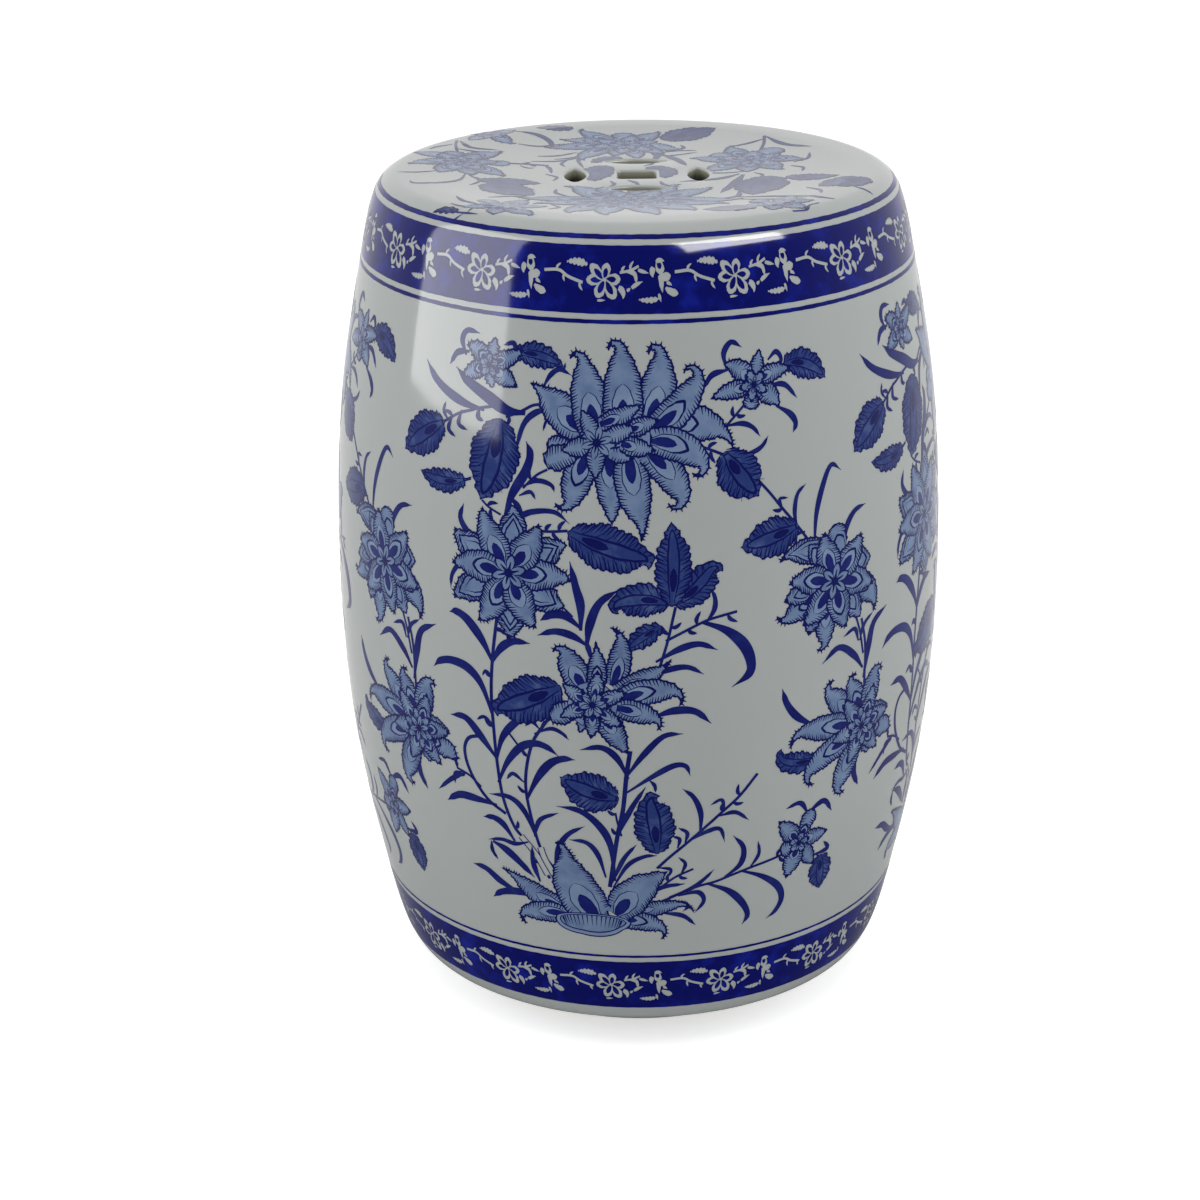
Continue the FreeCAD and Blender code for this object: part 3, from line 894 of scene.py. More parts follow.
@dataclass(frozen=True)
class Window:
    """A rectangle of the sheet that is made into a film, cut up into small tiles.

    Corners nearer to each other than weld fall together. Triangles smaller than speck are left out.
    """

    low: complex
    high: complex
    tile: float = 12.0
    weld: float = 0.004
    speck: float = 2e-4

    def film(self, picture: Picture) -> Film:
        """Flatten the painted areas into one layer, in which the topmost area shows."""
        outlines = [outline for outline, _ in picture.areas]
        ends = [self._box(outline) for outline in outlines]
        boxes = np.array([end[0] for end in ends]), np.array([end[1] for end in ends])
        start = np.concatenate(outlines)
        end = np.concatenate([np.roll(outline, -1) for outline in outlines])
        strokes = (
            np.minimum(start.real, end.real) + 1j * np.minimum(start.imag, end.imag),
            np.maximum(start.real, end.real) + 1j * np.maximum(start.imag, end.imag))
        corners, pigment = [], []
        for near, far in self._tiles():
            here = self._meets(boxes, near, far)
            if not len(here):
                continue
            touch = self._meets(strokes, near, far)
            shape = self._cut(*self._clipped(start[touch], end[touch], near, far), near, far)
            top = self._topmost(shape, here, outlines, boxes)
            for face, owner in zip(shape, top):
                if owner >= 0 and picture.areas[owner][1] is not Tone.BARE:
                    corners.append(face)
                    pigment.append(picture.areas[owner][1].value)
        return Film(np.array(corners), np.array(pigment))

    @staticmethod
    def _box(outline: np.ndarray) -> tuple[complex, complex]:
        """Lowest and highest corner of an outline."""
        low = complex(outline.real.min(), outline.imag.min())
        return low, complex(outline.real.max(), outline.imag.max())

    def _tiles(self) -> Iterable[tuple[complex, complex]]:
        """Lowest and highest corner of each tile."""
        span = self.high - self.low
        columns, rows = math.ceil(span.real / self.tile - 1e-6), math.ceil(span.imag / self.tile - 1e-6)
        width, height = span.real / columns, span.imag / rows
        for number in range(columns * rows):
            near = self.low + complex(number // rows * width, number % rows * height)
            yield near, near + complex(width, height)

    @staticmethod
    def _meets(boxes: tuple[np.ndarray, np.ndarray], near: complex, far: complex) -> np.ndarray:
        """Which of many boxes reach into a tile."""
        low, high = boxes
        across = (low.real < far.real) & (high.real > near.real)
        return np.flatnonzero(across & (low.imag < far.imag) & (high.imag > near.imag))

    @staticmethod
    def _clipped(start: np.ndarray, end: np.ndarray, near: complex,
                 far: complex) -> tuple[np.ndarray, np.ndarray]:
        """The parts of straight strokes that lie in a tile."""
        span = end - start
        first, last = np.zeros(len(start)), np.ones(len(start))
        for origin, step, low, high in (
                (start.real, span.real, near.real, far.real), (start.imag, span.imag, near.imag, far.imag)):
            step = np.where(step == 0, 1e-12, step)
            one, two = (low - origin) / step, (high - origin) / step
            first = np.maximum(first, np.minimum(one, two))
            last = np.minimum(last, np.maximum(one, two))
        keep = last > first
        return (start + span * first)[keep], (start + span * last)[keep]

    def _cut(self, start: np.ndarray, end: np.ndarray, near: complex, far: complex) -> np.ndarray:
        """Triangles that fill a tile and have no stroke across them."""
        corners = np.array([near, complex(far.real, near.imag), far, complex(near.real, far.imag)])
        ends = np.concatenate([start, corners, end, np.roll(corners, -1)])
        count = len(ends) // 2
        points = [Vector((point.real, point.imag)) for point in ends]
        edges = [(index, index + count) for index in range(count)]
        places, _, faces, *_ = geometry.delaunay_2d_cdt(points, edges, [], 0, self.weld, False)
        made = np.array([complex(*place) for place in places])
        return made[np.array([face for face in faces if len(face) == 3])]

    def _topmost(self, shape: np.ndarray, here: np.ndarray, outlines: list[np.ndarray],
                 boxes: tuple[np.ndarray, np.ndarray]) -> np.ndarray:
        """Which area each triangle of a tile shows, or -1."""
        middle = shape.mean(axis=1)
        size = ((shape[:, 1] - shape[:, 0]).conj() * (shape[:, 2] - shape[:, 0])).imag
        top = np.full(len(shape), -1)
        unmet = size > self.speck
        low, high = boxes
        for index in here[::-1]:
            test = np.flatnonzero(
                unmet & (middle.real > low[index].real) & (middle.real < high[index].real)
                & (middle.imag > low[index].imag) & (middle.imag < high[index].imag))
            if len(test):
                hit = test[self._inside(outlines[index], middle[test])]
                top[hit] = index
                unmet[hit] = False
        return top

    @staticmethod
    def _inside(outline: np.ndarray, places: np.ndarray) -> np.ndarray:
        """Which places an outline winds round."""
        span = np.roll(outline, -1) - outline
        offset = places[:, None] - outline[None, :]
        low = offset.imag >= 0
        high = offset.imag - span.imag[None, :] >= 0
        side = (span.conj()[None, :] * offset).imag
        turns = (low & ~high & (side > 0)).sum(axis=1) - (~low & high & (side < 0)).sum(axis=1)
        return turns != 0


@dataclass(frozen=True)
class Reserve(Lobe):
    """A lobe left white in the blue ground, some with a blue eye or a notched edge."""

    step: float = 0.8
    eye: float = 0.0
    notch: float = 0.0
    notch_steps: int = 3

    def paint(self, picture: Picture) -> None:
        """Leave the lobe out of the ground."""
        line = self.line()
        halves = [
            half - self.notch * (number % self.notch_steps == 1) * min(1.0, half)
            for number, half in enumerate(self.widths(len(line)))
        ]
        picture.fill(ribbon(line, halves), Tone.BARE)
        if self.eye:
            picture.fill(self.inner(0.06, self.eye, 0.52), Tone.LINE)


@dataclass(frozen=True)
class Ground(Motif):
    """A rectangle of full blue, its long edges a little uneven as a brush leaves them."""

    low: complex
    high: complex
    tremor: float = 0.12
    waves: tuple[int, ...] = (2, 5, 9)
    steps: int = 48

    def paint(self, picture: Picture) -> None:
        """Paint the ground."""
        span = self.high.real - self.low.real
        edges = []
        for level in (self.low.imag, self.high.imag):
            phases = [picture.hand.uniform(0, FULL_TURN) for _ in self.waves]
            edge = []
            for number in range(self.steps + 1):
                share = number / self.steps
                lift = sum(
                    math.sin(FULL_TURN * wave * share + phase) for wave, phase in zip(self.waves, phases))
                height = level + self.tremor * lift / len(self.waves)
                edge.append(complex(self.low.real + span * share, height))
            edges.append(edge)
        picture.fill([*edges[0], *reversed(edges[1])], Tone.LINE)


@dataclass(frozen=True)
class Placed(Motif):
    """A motif painted in another place and drawn out or in along the band."""

    motif: Motif
    shift: complex
    stretch: float = 1.0

    def paint(self, picture: Picture) -> None:
        """Paint the motif and move what it painted."""
        first = len(picture.areas)
        self.motif.paint(picture)
        picture.areas[first:] = [
            (outline.real * self.stretch + 1j * outline.imag + self.shift, tone)
            for outline, tone in picture.areas[first:]
        ]


BAND_MOTIFS: tuple[Motif, ...] = (
    # the blossom
    *(Reserve(-20.8+0.1j, tip, width, form=Form.ROUND, eye=0.74) for tip, width in (
        (-31+0j, 5.4), (-29+7.2j, 5.2), (-19.3+8j, 5.2), (-11.8+0.6j, 5.6), (-14.6-8.6j, 6.2),
        (-25-8.2j, 6.0))),
    Reserve(-42.5+8j, -30.5+7j, 4.0, -0.25, form=Form.ROUND, notch=0.7),
    Reserve(-24.6-9.6j, -20-9.4j, 1.3),
    # the bud seen from its side
    Reserve(8.6+9.5j, 10.2+2.6j, 5.0, -0.4, form=Form.ROUND, eye=0.7),
    Reserve(8.4+8.6j, 12.8+8.6j, 2.4, -0.5),
    Reserve(6.6+6j, 6.4+1.2j, 3.2, 0.5),
    Reserve(9.2+1.2j, 16.2+2.2j, 4.4, 0.2, form=Form.ROUND),
    Reserve(11.2+3j, 11.6-6j, 3.0, 0.2),
    Reserve(13.2-3.6j, 20.2-6.6j, 3.8, 0.3, form=Form.ROUND),
    Reserve(13.8-1.2j, 16.8-2.8j, 1.8, -0.3),
    Reserve(-1.6-9j, 9.6-8.6j, 3.2, 0.2, form=Form.ROUND, notch=0.6),
    Reserve(9.4-6.4j, 10.6-10.4j, 1.6),
    # small leaves between them
    Reserve(-12.8-3.4j, -10.4-8.8j, 3.2, -0.8),
    Reserve(-8.2-5j, -6.2-3.6j, 1.7),
    Reserve(-5.6-3.6j, 0.6-0.6j, 2.2, -0.2),
    Reserve(-2+4.8j, 4+3.2j, 1.9),
    # thorny twigs
    Twig((-55.5+3.6j, -47+4j, -41.5+1.2j, -33-1.4j), 1.5, (0.28, -0.55, -0.9), thorn_length=3.4,
         tone=Tone.BARE),
    Twig((-12.2+3.6j, -6.4+4.6j, -1.6+6.6j), 1.3, (0.08, 0.5), thorn_length=3.6, tone=Tone.BARE),
    Blade((-8+3.8j, -4+3j, -2.8-1.6j), 2.4, tone=Tone.BARE),
)


# short names for the forms that most petals have
H = Form.HOOKED
R = Form.ROUND

CUP = Cup(-30+90j, 21.5, 10.5)

TWIGS = (
    # middle stems, from the half-open flower up
    Twig((
        -53+114j, -58+124j, -66+136j, -72+144j, -77+160j, -79+180j, -80+200j, -80.5+220j, -79+240j, -76+262j,
    ), 1.9, (0.12, -0.3, 0.66, 0.82)),
    Twig((-54+116j, -60+128j, -68+138j), 4.2, hollow=True),
    Twig((-48+118j, -56+130j, -60+145j, -63+165j, -62+180j, -58+195j, -52+205j, -47+212j),
        1.8, (0.62, 0.42)),
    Twig((-50+116j, -55+126j, -57+133j), 4.2, hollow=True),
    Twig((-76+150j, -87+157j, -96+170j, -99+182j, -96+190j, -89+193j), 2.0),
    Twig((-90+163j, -97+168j, -105+170.5j), 1.4, (0.7, -0.95)),
    Twig((-19+112j, -17+125j, -14+145j, -11+160j, -9+180j, -7+194j), 2.4, (0.42, -0.55)),
    Twig((-12+144j, -14+152j, -15+158j), 1.2, (0.9,)),
    Twig((7+124j, 14+131j, 22+138j, 32+147j, 42+156j, 51+164j, 60.5+175.5j), 1.7, (0.68, -0.78, 0.84)),
    Twig((-2+104j, 8+111j, 17+118j, 27+122.5j), 1.4, (0.5, -0.75)),
    Twig((10+103j, 28+110.5j, 40+113j, 50+116j, 60+118.5j, 73+121j, 80+122.5j), 1.6, (0.9, -0.92)),
    Twig((8+240j, 12+254j, 16+272j), 1.5, (0.6, -0.7)),
    Twig((11+254j, 20+258.5j, 31+263.5j, 39+265.5j, 47.5+267j), 1.5, (0.4, -0.3, -0.85)),
    Twig((91+294j, 82+306j, 73+317j, 66+326j, 59+334j), 1.5, (0.5,)),
    Twig((43+361j, 48+365.5j, 54+371j), 1.3, (0.5, -0.6)),
    Twig((27+353.5j, 35+350.5j, 43+347j), 1.5, (0.4, -0.5)),
    Twig((-48+372j, -57+371.5j, -64+368j, -73+364j), 1.5, (0.9,)),
    Twig((-78+369j, -89+366.5j, -95+364.5j, -102+362j, -112+356j), 1.5, (-0.85,)),
    Twig((-85+321j, -81+318j, -74+315j), 1.2, (0.4, -0.6)),
    Twig((-62+330j, -55+337j, -49+340.5j), 1.3, (0.3, -0.4)),
    Twig((-55+309j, -46+309.5j, -38+310.5j), 1.5, (0.3, -0.5, 0.7)),
    Twig((-44+274j, -35.5+266j), 1.1),
    Twig((124+248j, 127.5+232j, 128+208j), 1.7),
    Twig((119+252j, 123+241j, 126+228j), 1.4),
    Twig((-71+198j, -65.5+191j), 1.2),
    Twig((-92+331j, -97+329j), 1.6),
    Twig((94+146j, 95+140j), 1.4),
    Twig((103+117j, 107+113j), 1.2),
)

BLADES = blades(
    # round the small flower and the leaf on the upper left
    (-62+367j, -73+367.5j, -85+373j, -97+378.5j, -106+384.5j, 6.5),
    (-86+366j, -98+367.5j, -110+371.5j, -120+377j, -127.5+384.5j, 4.8),
    (-46+370.5j, -56+368j, -63+361j, -67+346j, 3.4), (-100+364j, -101.5+357j, -95.5+354.5j, 2.6),
    (-106+360j, -108+353.5j, -103+350j, 2.6), (-109+358j, -112+362j, -111+366.5j, 2.2),
    (-89+367j, -89.5+362j, -86+360.5j, 2.8), (-44+368j, -50+364.5j, -52+359j, 1.8),
    (-100+391j, -103.5+398j, -100.5+403j, -92+402.5j, 3.4), (-98+393j, -106+391.5j, -110.5+385j, 3.4),
    (-69+395j, -71+400j, -77+398.5j, 2.8), (-53+380j, -49+386.5j, -44+389.5j, -37.5+387j, 2.8),
    (-46+391j, -42+390j, -41+393j, 1.6),
    # between the two big flowers on the left
    (-72+313j, -68+326j, -61+338j, -58.5+347j, -61+353.5j, 5.2),
    (-62+331j, -54+334.5j, -47+333j, -45+329.5j, 2.6), (-64+326j, -58+328.5j, -55+325j, 2.2),
    (-70+325j, -64+320j, -61+310j, 3.0), (-74+311j, -66+314j, -57+318.5j, -45+319.5j, -37+314j, 3.2),
    (-85+298j, -93+303j, -98+310j, -96+317.5j, 3.6), (-88+290.5j, -96+291j, -100+297.5j, 2.6),
    (-90+291j, -98+286j, -103+279j, -104+271.5j, 2.8),
    (-79+236j, -85+247j, -93+256j, -100+259.5j, -105+258.5j, 5.4),
    (-79.5+236j, -74+245j, -67+249.5j, -58+249.5j, 4.6), (-78+254j, -74.5+254.5j, -71+252j, 2.6),
    (-31.5+259j, -31.5+272j, -34+282j, -37+295j, 4.8), (-31+260j, -40+266.5j, -47+266j, -52.5+262.5j, 4.8),
    (-28.5+250j, -27+262j, -22+274j, -12+281.5j, 4.8), (-28+251j, -36+256j, -45+257.5j, -54+254.5j, 4.2),
    (-29+254j, -27.5+249j, -26+243.5j, 3.0),
    # left of the middle stems
    (-80+206j, -86+222j, -94+230j, -104+232j, -112+230j, -117+225.5j, 5.2),
    (-80+201j, -85.5+204.5j, -90+202j, 2.2), (-80+229j, -83.5+230.5j, -85.5+227.5j, 1.8),
    (-79+182j, -88+193j, -97+201.5j, -107+201j, 4.8),
    (-79+182j, -75+195j, -67+205j, -59+210.5j, -53+210.5j, 4.4),
    (-79+168j, -73+181j, -65+191j, -57+194.5j, -50+193j, -44+188.5j, 4.6),
    (-57+200j, -48+204j, -42+202j, -38.5+198.5j, 2.4), (-54+203j, -58+206.5j, -62+203.5j, 2.2),
    (-54+202j, -51+207j, -47+210j, 2.0), (-63+161j, -56+175j, -49+184j, -42+187.5j, -35.5+187.5j, 4.8),
    (-64+171j, -70+175j, -74+171j, 2.4), (-59.5+140j, -65+154j, -73+160.5j, -85.5+160j, 3.6),
    (-60+139j, -56+150j, -45.5+155.5j, 2.8),
    (-81+154j, -92+155j, -103+155j, -109+152.5j, -114.5+148.5j, 4.8),
    (-102+169j, -107+166.5j, -107.5+160.5j, 2.4), (-105+170j, -105.5+174.5j, -103+177.5j, 1.8),
    (-72+134j, -78+143j, -84+146j, -90.5+145j, 4.2), (-64+135j, -72+132.5j, -80+133.5j, -89+131.5j, 2.8),
    (-87+131j, -87+125j, -84+120j, 2.6), (-86+131j, -78+127.5j, -70+121j, -62+113j, 5.0),
    (-59+111j, -62+122j, -62+133j, 3.4), (-50+117j, -47+133j, -41+143j, -31.5+149j, 3.4),
    # right of the middle stems
    (-21+118j, -25+132j, -31+139j, -40.5+140j, 3.2),
    (-16+116j, -18+138j, -24+150j, -34+158j, -46.5+159.5j, 4.4), (-18+114j, -11+130j, -4+139j, 2.8),
    (-17+112j, -9+126j, 0+131.5j, 7+132j, 2.8), (-13+146j, -7+160j, 1+173.5j, 3.2),
    (-8+178j, -14+190j, -22+195.5j, -33+193.5j, 3.8), (-10+178j, 0+192j, 10+202j, 20+203j, 3.6),
    (-9+170j, 4+179j, 15+185j, 21.5+184.5j, 24+178.5j, 3.4), (3+177j, 5.5+174j, 6+170j, 2.2),
    (6+243j, 18+249.5j, 28+251.5j, 37.5+247.5j, 3.8), (2+234j, 12+238.5j, 22+239.5j, 30.5+235j, 3.4),
    (4+212.5j, 15+216j, 26+215j, 34.5+207.5j, 4.4), (31+262j, 35.5+269j, 36+275j, 34+280.5j, 2.8),
    (30+263j, 42+257.5j, 51+249j, 55+239.5j, 54+232.5j, 45+226.5j, 6.2),
    (30+143j, 30+156j, 26+166j, 20+171.5j, 3.2), (40+153.5j, 49+154.5j, 57+148.5j, 2.6),
    (24+140j, 34+145j, 41+145.5j, 44+137j, 2.8), (18+136j, 19+141.5j, 15+143.5j, 2.2),
    (22+139j, 23+145j, 18+148.5j, 2.4), (43+156.5j, 41+163j, 35+160.5j, 2.2),
    (20+119j, 22.5+126j, 18.5+130.5j, 2.2), (8+124.5j, 14.5+123j, 13+118j, 2.2),
    (-3+105j, 10+112j, 23+113.5j, 3.0), (14+105.5j, 26+110j, 33+115j, 39+121j, 2.8),
    (45+115j, 54+122j, 55+132j, 48.5+140.5j, 3.6), (59.5+118j, 64.5+126j, 63.5+134.5j, 2.4),
    (55+117.5j, 68+111.5j, 79+103j, 83+94j, 80+86.5j, 74+82.5j, 4.4),
    (35+112.5j, 48+106j, 57+97j, 61.5+88j, 58.5+82j, 4.4), (19+106j, 30+107.5j, 34+101.5j, 29+94j, 3.0),
    (10+95.5j, 22+93j, 30+86j, 3.0), (8+98j, 20+101.5j, 25+99j, 22+95.5j, 2.6),
    (-72+101j, -84+106j, -93+112j, -102+113j, 4.6), (-56+100j, -72+102j, -84+99.5j, -91+94.5j, 4.8),
    # round the small flowers and the round flower on the right
    (45+389j, 44+396.5j, 48.5+401.5j, 54.5+398.5j, 3.2), (46+388.5j, 37+386.5j, 32+380j, 3.2),
    (69+391j, 74+394.5j, 77+391j, 75.5+386.5j, 2.8), (69+379j, 78+378j, 85+370.5j, 3.0),
    (72+368.5j, 80+363.5j, 83+358.5j, 81+354j, 3.6), (43+361.5j, 52+362j, 58+359.5j, 62+354.5j, 2.8),
    (49+346j, 58+347.5j, 63+350j, 66.5+354.5j, 2.6), (81.5+305j, 80+314j, 82+323j, 87.5+327.5j, 2.6),
    (91.5+292j, 93+310j, 98+325j, 104+334j, 110.5+330j, 3.4),
    (111+290j, 113+300j, 119+307j, 127.5+309j, 3.6), (86+303j, 79.5+302j, 81.5+296j, 2.6),
    (73+317j, 71.5+322j, 76.5+322j, 2.0), (95+195j, 83+203j, 76+212j, 73+221j, 4.4),
    (125+172j, 125+160j, 130+150.5j, 4.4), (126+220j, 119+229j, 108+236j, 97+229.5j, 4.2),
    (127+214j, 130+230j, 134+243j, 145+249.5j, 4.6), (122+236j, 119+243.5j, 111+241j, 2.6),
    (123+236j, 126+244j, 133+249j, 2.6), (94+144j, 88+152j, 79+150.5j, 3.0),
    (93+144j, 104+149j, 111+141j, 3.6), (102+116j, 112+117.5j, 108+123j, 3.2),
    (160+169j, 150+163j, 139+153.5j, 3.0),
)

LEAVES = (
    Leaf(-70+395.5j, -42+391j, 12.5, -0.3),
    Leaf(78+388j, 104.5+377.5j, 15, -0.5),
    Leaf(-76+363j, -86+321j, 29, -0.15, 0.0, hook_start=0.8),
    Leaf(-111+356.5j, -139+337j, 22, 0.1),
    Leaf(-95+330j, -126+329j, 12.5, -0.35),
    Leaf(-38+310j, 1+297j, 24, 0.12, -2.0, hook_start=0.8),
    Leaf(42+349j, 60+325j, 24, 0.1),
    Leaf(82+307j, 49.5+300j, 21, -0.1),
    Leaf(9+262j, -9+249j, 11.5, 0.15),
    Leaf(-42+228j, -76+211j, 26, -0.1, 1.6, hook_start=0.8),
    Leaf(-13+166j, -44+177j, 23, -0.2),
    Leaf(7+133j, 4+166j, 22, 0.1, -2.2, hook_start=0.75),
    Leaf(97+177j, 73+184j, 13, -0.5, -1.5),
    Leaf(107+115j, 111+92j, 17),
    Leaf(13+273j, -14+272j, 18, 0.5, 2.4, hook_start=0.75),
    Leaf(15+273j, 37+291j, 17, 0.3, -2.4, hook_start=0.7),
    Leaf(14+272j, 14+316j, 19, 0.1),
)

FLOWERS = (
    # the big flower
    Bloom(-23.5+355j, (
        Petal(-30+361j, -56+380j, 20, -0.1, 0.4, H),
        Petal(-24+358j, -34+397j, 21, 0.0, 2.8, H, hook_start=0.76),
        Petal(2+361j, 7+401j, 21, 0.3, 3.4, H, hook_start=0.75),
        Petal(8+361j, 45+355j, 20, -0.6, -0.6, H),
        Petal(-10.5+360j, -14.5+403j, 22, 0.1, 3.4, H, hook_start=0.76),
        Petal(4+361j, 25.5+391j, 17, 0.35, 3.4, H),
        Petal(-28+350j, -41+322j, 17, 0.15, -2.6, H),
        Petal(-17+350j, -15.5+314j, 17),
        Petal(-7+350j, -0.5+312j, 19, 0.15, -0.6, H),
        Petal(2+351j, 16.5+323j, 17, -0.45, -3.0, H),
        Petal(4+356j, 29.5+339j, 17, -0.6, -3.0, H),
        Petal(-34+351j, -50+353j, 11, 0.1, 0.0, R, eye=0, fringe=6.0),
        Petal(-32+350j, -51+344j, 14, 0.1, 0.0, R, eye=0, fringe=7.0),
        Petal(-22+358j, 5+357j, 18, form=R, eye=0, fringe=0.0),
        Petal(-34+355j, -13+355j, 15, form=R, eye=0, fringe=0.0),
        Petal(-28+353.5j, -42+350.5j, 11, eye=0),
        Petal(-24+352j, -24+337j, 11, eye=0),
        Petal(-25+359j, -32+371j, 10, eye=0),
        Petal(-17+350j, -4+347.5j, 9, eye=0),
        Petal(-22+364j, 0+374j, 11, 0.1),
        Petal(-11+355j, 7+351.5j, 11, 0.1),
        Petal(-7+361j, 9+366.5j, 10, -0.1),
        Petal(-18+358j, -3+363j, 10, eye=0),
    ), (), 2.6),
    # the two round flowers
    Bloom(-69.5+285.5j, (), (
        Ring(6, 33, 18, 30, 0.4, 0.4, nested=2, eye=0), Ring(6, 31, 18, 0, 0.16, 0.3, eye=0.52),
    ), 3.2, 12.0),
    Bloom(104.5+273j, (
        Petal(98+290j, 73+291j, 15, 0.3, 0.6, H, nested=2, eye=0),
        Petal(100+262j, 96+238j, 14, 0.2, -2.4, H), Petal(95+268j, 71+259j, 15, 0.2, -2.0, H),
        Petal(116+270j, 134+252j, 16, -0.5, -0.8, H),
        Petal(114+262j, 123+249j, 14, nested=2, eye=0),
        Petal(92+262j, 88+247j, 13, nested=2, eye=0),
        Petal(118+280j, 131+280j, 16, nested=2, eye=0),
        Petal(88+272j, 73+268j, 13, nested=2, eye=0),
        Petal(110+288j, 104+303j, 14, form=R, nested=2, eye=0),
        Petal(96+286j, 88+296j, 12, nested=1, eye=0),
    ), (Ring(6, 27, 17, -12, 0.17, 0.3, eye=0.6),), 3.2, 15.0),
    # the star flowers
    Bloom(-26+219j, (
        Petal(-16+230j, -13+259j, 13, 0.3, 1.2, H),
        Petal(-30+228j, -44+248.5j, 16, -0.1, 2.6, H),
        Petal(-24+228j, -24+254j, 11, 0.1, 0.0, H),
        Petal(-14+226j, 11+241j, 13, 0.1, 0.3, H),
        Petal(-12+222j, 19+223j, 15, -0.45, -2.0, H),
        Petal(-14+218j, 8+208j, 13, -0.2, -2.0, H),
        Petal(-20+214j, -8+192j, 14, 0.1, 0.0),
        Petal(-28+218j, -46+211j, 13, 0.3, -0.6, R, eye=0),
        Petal(-29+214j, -33+203j, 8, eye=0),
    ), (Ring(6, 19, 9.5, 25, 0.2), Ring(6, 10, 5, 0, 0.2, eye=0)), 2.0, 13.0),
    Bloom(128+186j, (
        Petal(120+194j, 102+216.5j, 15, 0.1, -2.8, H), Petal(126+196j, 119+217.5j, 14, 0.1, -3.0, H),
        Petal(132+196j, 141+216j, 15, -0.2, -3.0, H), Petal(120+189j, 81+191j, 16, 0.15, 1.8, H),
        Petal(120+182j, 92+163j, 16, 0.45, 2.4, H), Petal(124+176j, 115+151j, 16, 0.2, 2.6, H),
        Petal(134+188j, 151+191j, 17, eye=0), Petal(134+183j, 151+177j, 13, -0.2, -1.2, R),
        Petal(131+178j, 135+168j, 10, eye=0),
    ), (Ring(6, 23, 12, 10, 0.2), Ring(6, 13, 6.5, 40, 0.2)), 2.4, 12.0),
    # the small flowers
    Bloom(-85+388j, (
        Petal(-84+391j, -82+402j, 9, eye=0), Petal(-87+390j, -99+396j, 11, 0.4, 0.3, eye=0.4),
        Petal(-88+387j, -102+381j, 10, eye=0.4),
        Petal(-84+385j, -82+377j, 8, eye=0), Petal(-82+387j, -67+379j, 11, eye=0.4),
        Petal(-82+390j, -67+396j, 10, 0.3, -0.4, eye=0.4),
    ), (Ring(5, 7.5, 5, 18, 0.2, eye=0),), 1.4, 4.5),
    Bloom(60+380j, (
        Petal(61+383j, 64.5+397j, 9.5, eye=0), Petal(58+382j, 45+391j, 12, 0.4, 0.2, eye=0.4),
        Petal(57+379j, 35.5+375j, 10, 0.2, eye=0.4),
        Petal(59+377j, 57+368j, 10, form=R, eye=0), Petal(63+378j, 74+368j, 12, -0.3, 0.0, eye=0.4),
        Petal(63+382j, 80+386j, 10, -0.3, 0.3, eye=0.4),
    ), (Ring(5, 8.5, 6, 40, 0.2, eye=0),), 1.4, 4.5),
    Bloom(90+127j, (
        Petal(88+130j, 75+144j, 12, eye=0.4), Petal(92+131j, 98+146j, 11, -0.3, 0, R, eye=0.4),
        Petal(93+128j, 110+129.5j, 11, eye=0.4),
        Petal(92+124j, 103+110j, 11, eye=0), Petal(89+124j, 84+106j, 14, eye=0.4),
        Petal(87+127j, 78+124j, 11, form=R, eye=0),
    ), (Ring(5, 8, 5.5, 10, 0.2, eye=0),), 1.4, 4.5),
    # the half-open flower at the foot
    Bloom(-29+92j, (
        Petal(-30+86j, -30+106j, 22, eye=0), Petal(-44+94j, -77+113j, 15, -0.2, 0.5, H),
        Petal(-45+92j, -73+85j, 14, 0.3, 2.6, H),
        Petal(-16+96j, 25+99j, 11, 0.1, -1.6, H),
        Petal(-15+91j, 12+82j, 13, -0.4, -2.0, H), Petal(-16+94j, 13+122j, 23, -0.25, 0.0),
        Petal(-26+92j, -44+134j, 27, -0.45, 1.6, H, hook_start=0.8),
    ), (), 0),
)

